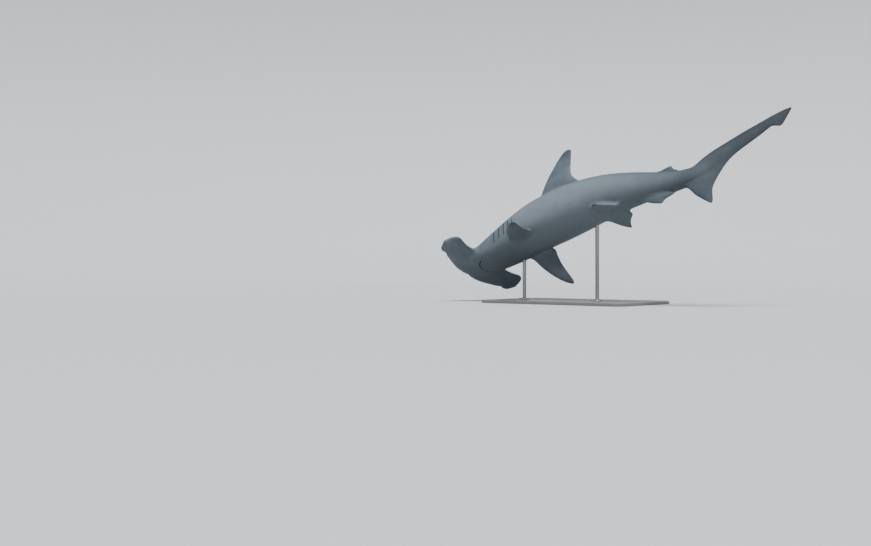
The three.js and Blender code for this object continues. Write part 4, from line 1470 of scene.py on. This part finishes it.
class SHARK_OT_studio(Operator):
    """Set up the pale floor, the soft light and the camera"""

    bl_idname = "shark.studio"
    bl_label = "Studio"

    def execute(self, context):
        settings = context.scene.shark_model
        bowl = studio_bowl()
        bowl.data.materials.append(studio_material(settings))
        overhead = add_light("SUN", "overhead light", OVERHEAD_PLACE, settings.key_power)
        overhead.angle = OVERHEAD_SOFTNESS
        beside = add_light("AREA", "camera side light", BESIDE_PLACE, settings.fill_power)
        beside.shape, beside.size = "SQUARE", BESIDE_SIZE
        world = bpy.data.worlds.new("studio air")
        world.use_nodes = True
        air = {"Color": AIR_COLOUR, "Strength": settings.air_light}
        set_inputs(world.node_tree, world.node_tree.nodes["Background"], air)
        context.scene.world = world
        bpy.ops.object.camera_add(location=CAMERA_PLACE, rotation=(math.pi / 2, 0, CAMERA_TURN))
        camera = bpy.context.object
        camera.data.lens = 35
        camera.data.sensor_width = 36
        camera.data.clip_end = 200
        context.scene.camera = camera
        return {"FINISHED"}


# Settings and panel


def colour_setting(name, description, default):
    return FloatVectorProperty(
        name=name, description=description, default=default, subtype="COLOR", size=3, min=0, max=1
    )


def share_setting(name, description, default):
    return FloatProperty(
        name=name, description=description, default=default, min=0, max=1, subtype="FACTOR"
    )


def length_setting(name, description, default, low, high):
    return FloatProperty(
        name=name, description=description, default=default, min=low, max=high, unit="LENGTH"
    )


def light_setting(name, description, default, **unit):
    return FloatProperty(name=name, description=description, default=default, min=0, **unit)


class SharkSettings(PropertyGroup):
    ridge_colour: colour_setting("Back", "Skin colour along the ridge of the back", (0.040, 0.052, 0.066))
    flank_colour: colour_setting("Flank", "Skin colour of the flanks", (0.150, 0.185, 0.215))
    mottle_colour: colour_setting("Mottling", "Colour of the soft patches on the back", (0.100, 0.125, 0.148))
    # The belly's tone is painted shade, darker than the flank.
    shaded_belly_colour: colour_setting("Belly", "Skin colour underneath", (0.105, 0.125, 0.142))
    # Dark colour of the dusky tail and fin tips, also used for painted shade on the hammer, gills, tail and
    # anal fin.
    dusk_and_shade_colour: colour_setting(
        "Fin tips", "Colour that the fins turn to at their tips", (0.014, 0.019, 0.025)
    )
    # Painted shade inside the gill slits, mouth, nostrils, nose furrows and eye sockets.
    cleft_shade_colour: colour_setting(
        "Clefts", "Colour inside the gill slits and the mouth", (0.007, 0.007, 0.008)
    )
    # Border height and softness place the change from the flank to the belly's painted shade, which is
    # darker, not pale.
    border: share_setting("Border height", "Where the flank turns pale: 0 is the back, 1 the belly", 0.64)
    border_width: share_setting("Border softness", "How wide the change to the pale belly is", 0.16)
    # This setting also scales the painted shade on the hammer, the gills, the tail and the anal fin.
    dusk_and_shade: share_setting("Dusk", "How far the tail and the fins' tips turn to the dark colour", 0.88)
    iris_colour: colour_setting("Iris", "Colour of the eye round the pupil", (0.110, 0.100, 0.065))
    eye_radius: length_setting("Eye radius", "Radius of each eyeball", 0.017, 0.010, 0.020)
    board_colour: colour_setting("Board", "Paint of the stand's board", (0.115, 0.120, 0.125))
    steel_colour: colour_setting("Rods", "Metal of the stand's rods", (0.38, 0.38, 0.38))
    rod_radius: length_setting("Rod radius", "Radius of the stand's rods", 0.013, 0.008, 0.015)
    floor_colour: colour_setting("Floor", "Colour of the studio floor", (0.50, 0.52, 0.54))
    key_power: light_setting("Overhead light", "Strength of the soft light overhead", 5.4)
    fill_power: light_setting(
        "Camera side light", "Power of the light beside the camera", 22.0, unit="POWER"
    )
    air_light: light_setting("Air light", "Strength of the even light from all round", 0.38)


class SHARK_PT_panel(Panel):
    bl_idname = "SHARK_PT_panel"
    bl_label = "Shark"
    bl_space_type = "VIEW_3D"
    bl_region_type = "UI"
    bl_category = "Shark"

    def draw(self, context):
        settings = context.scene.shark_model
        for operator in OPERATORS:
            self.layout.operator(operator.bl_idname)
        for name in SharkSettings.__annotations__:
            self.layout.prop(settings, name)


OPERATORS = (SHARK_OT_skin, SHARK_OT_eyes, SHARK_OT_stand, SHARK_OT_studio)
CLASSES = (SharkSettings, *OPERATORS, SHARK_PT_panel)


def register():
    for one in CLASSES:
        bpy.utils.register_class(one)
    bpy.types.Scene.shark_model = PointerProperty(type=SharkSettings)


def unregister():
    del bpy.types.Scene.shark_model
    for one in reversed(CLASSES):
        bpy.utils.unregister_class(one)


def main():
    register()
    bpy.ops.shark.skin()
    bpy.ops.shark.eyes()
    bpy.ops.shark.stand()
    bpy.ops.shark.studio()


if __name__ == "__main__":
    main()
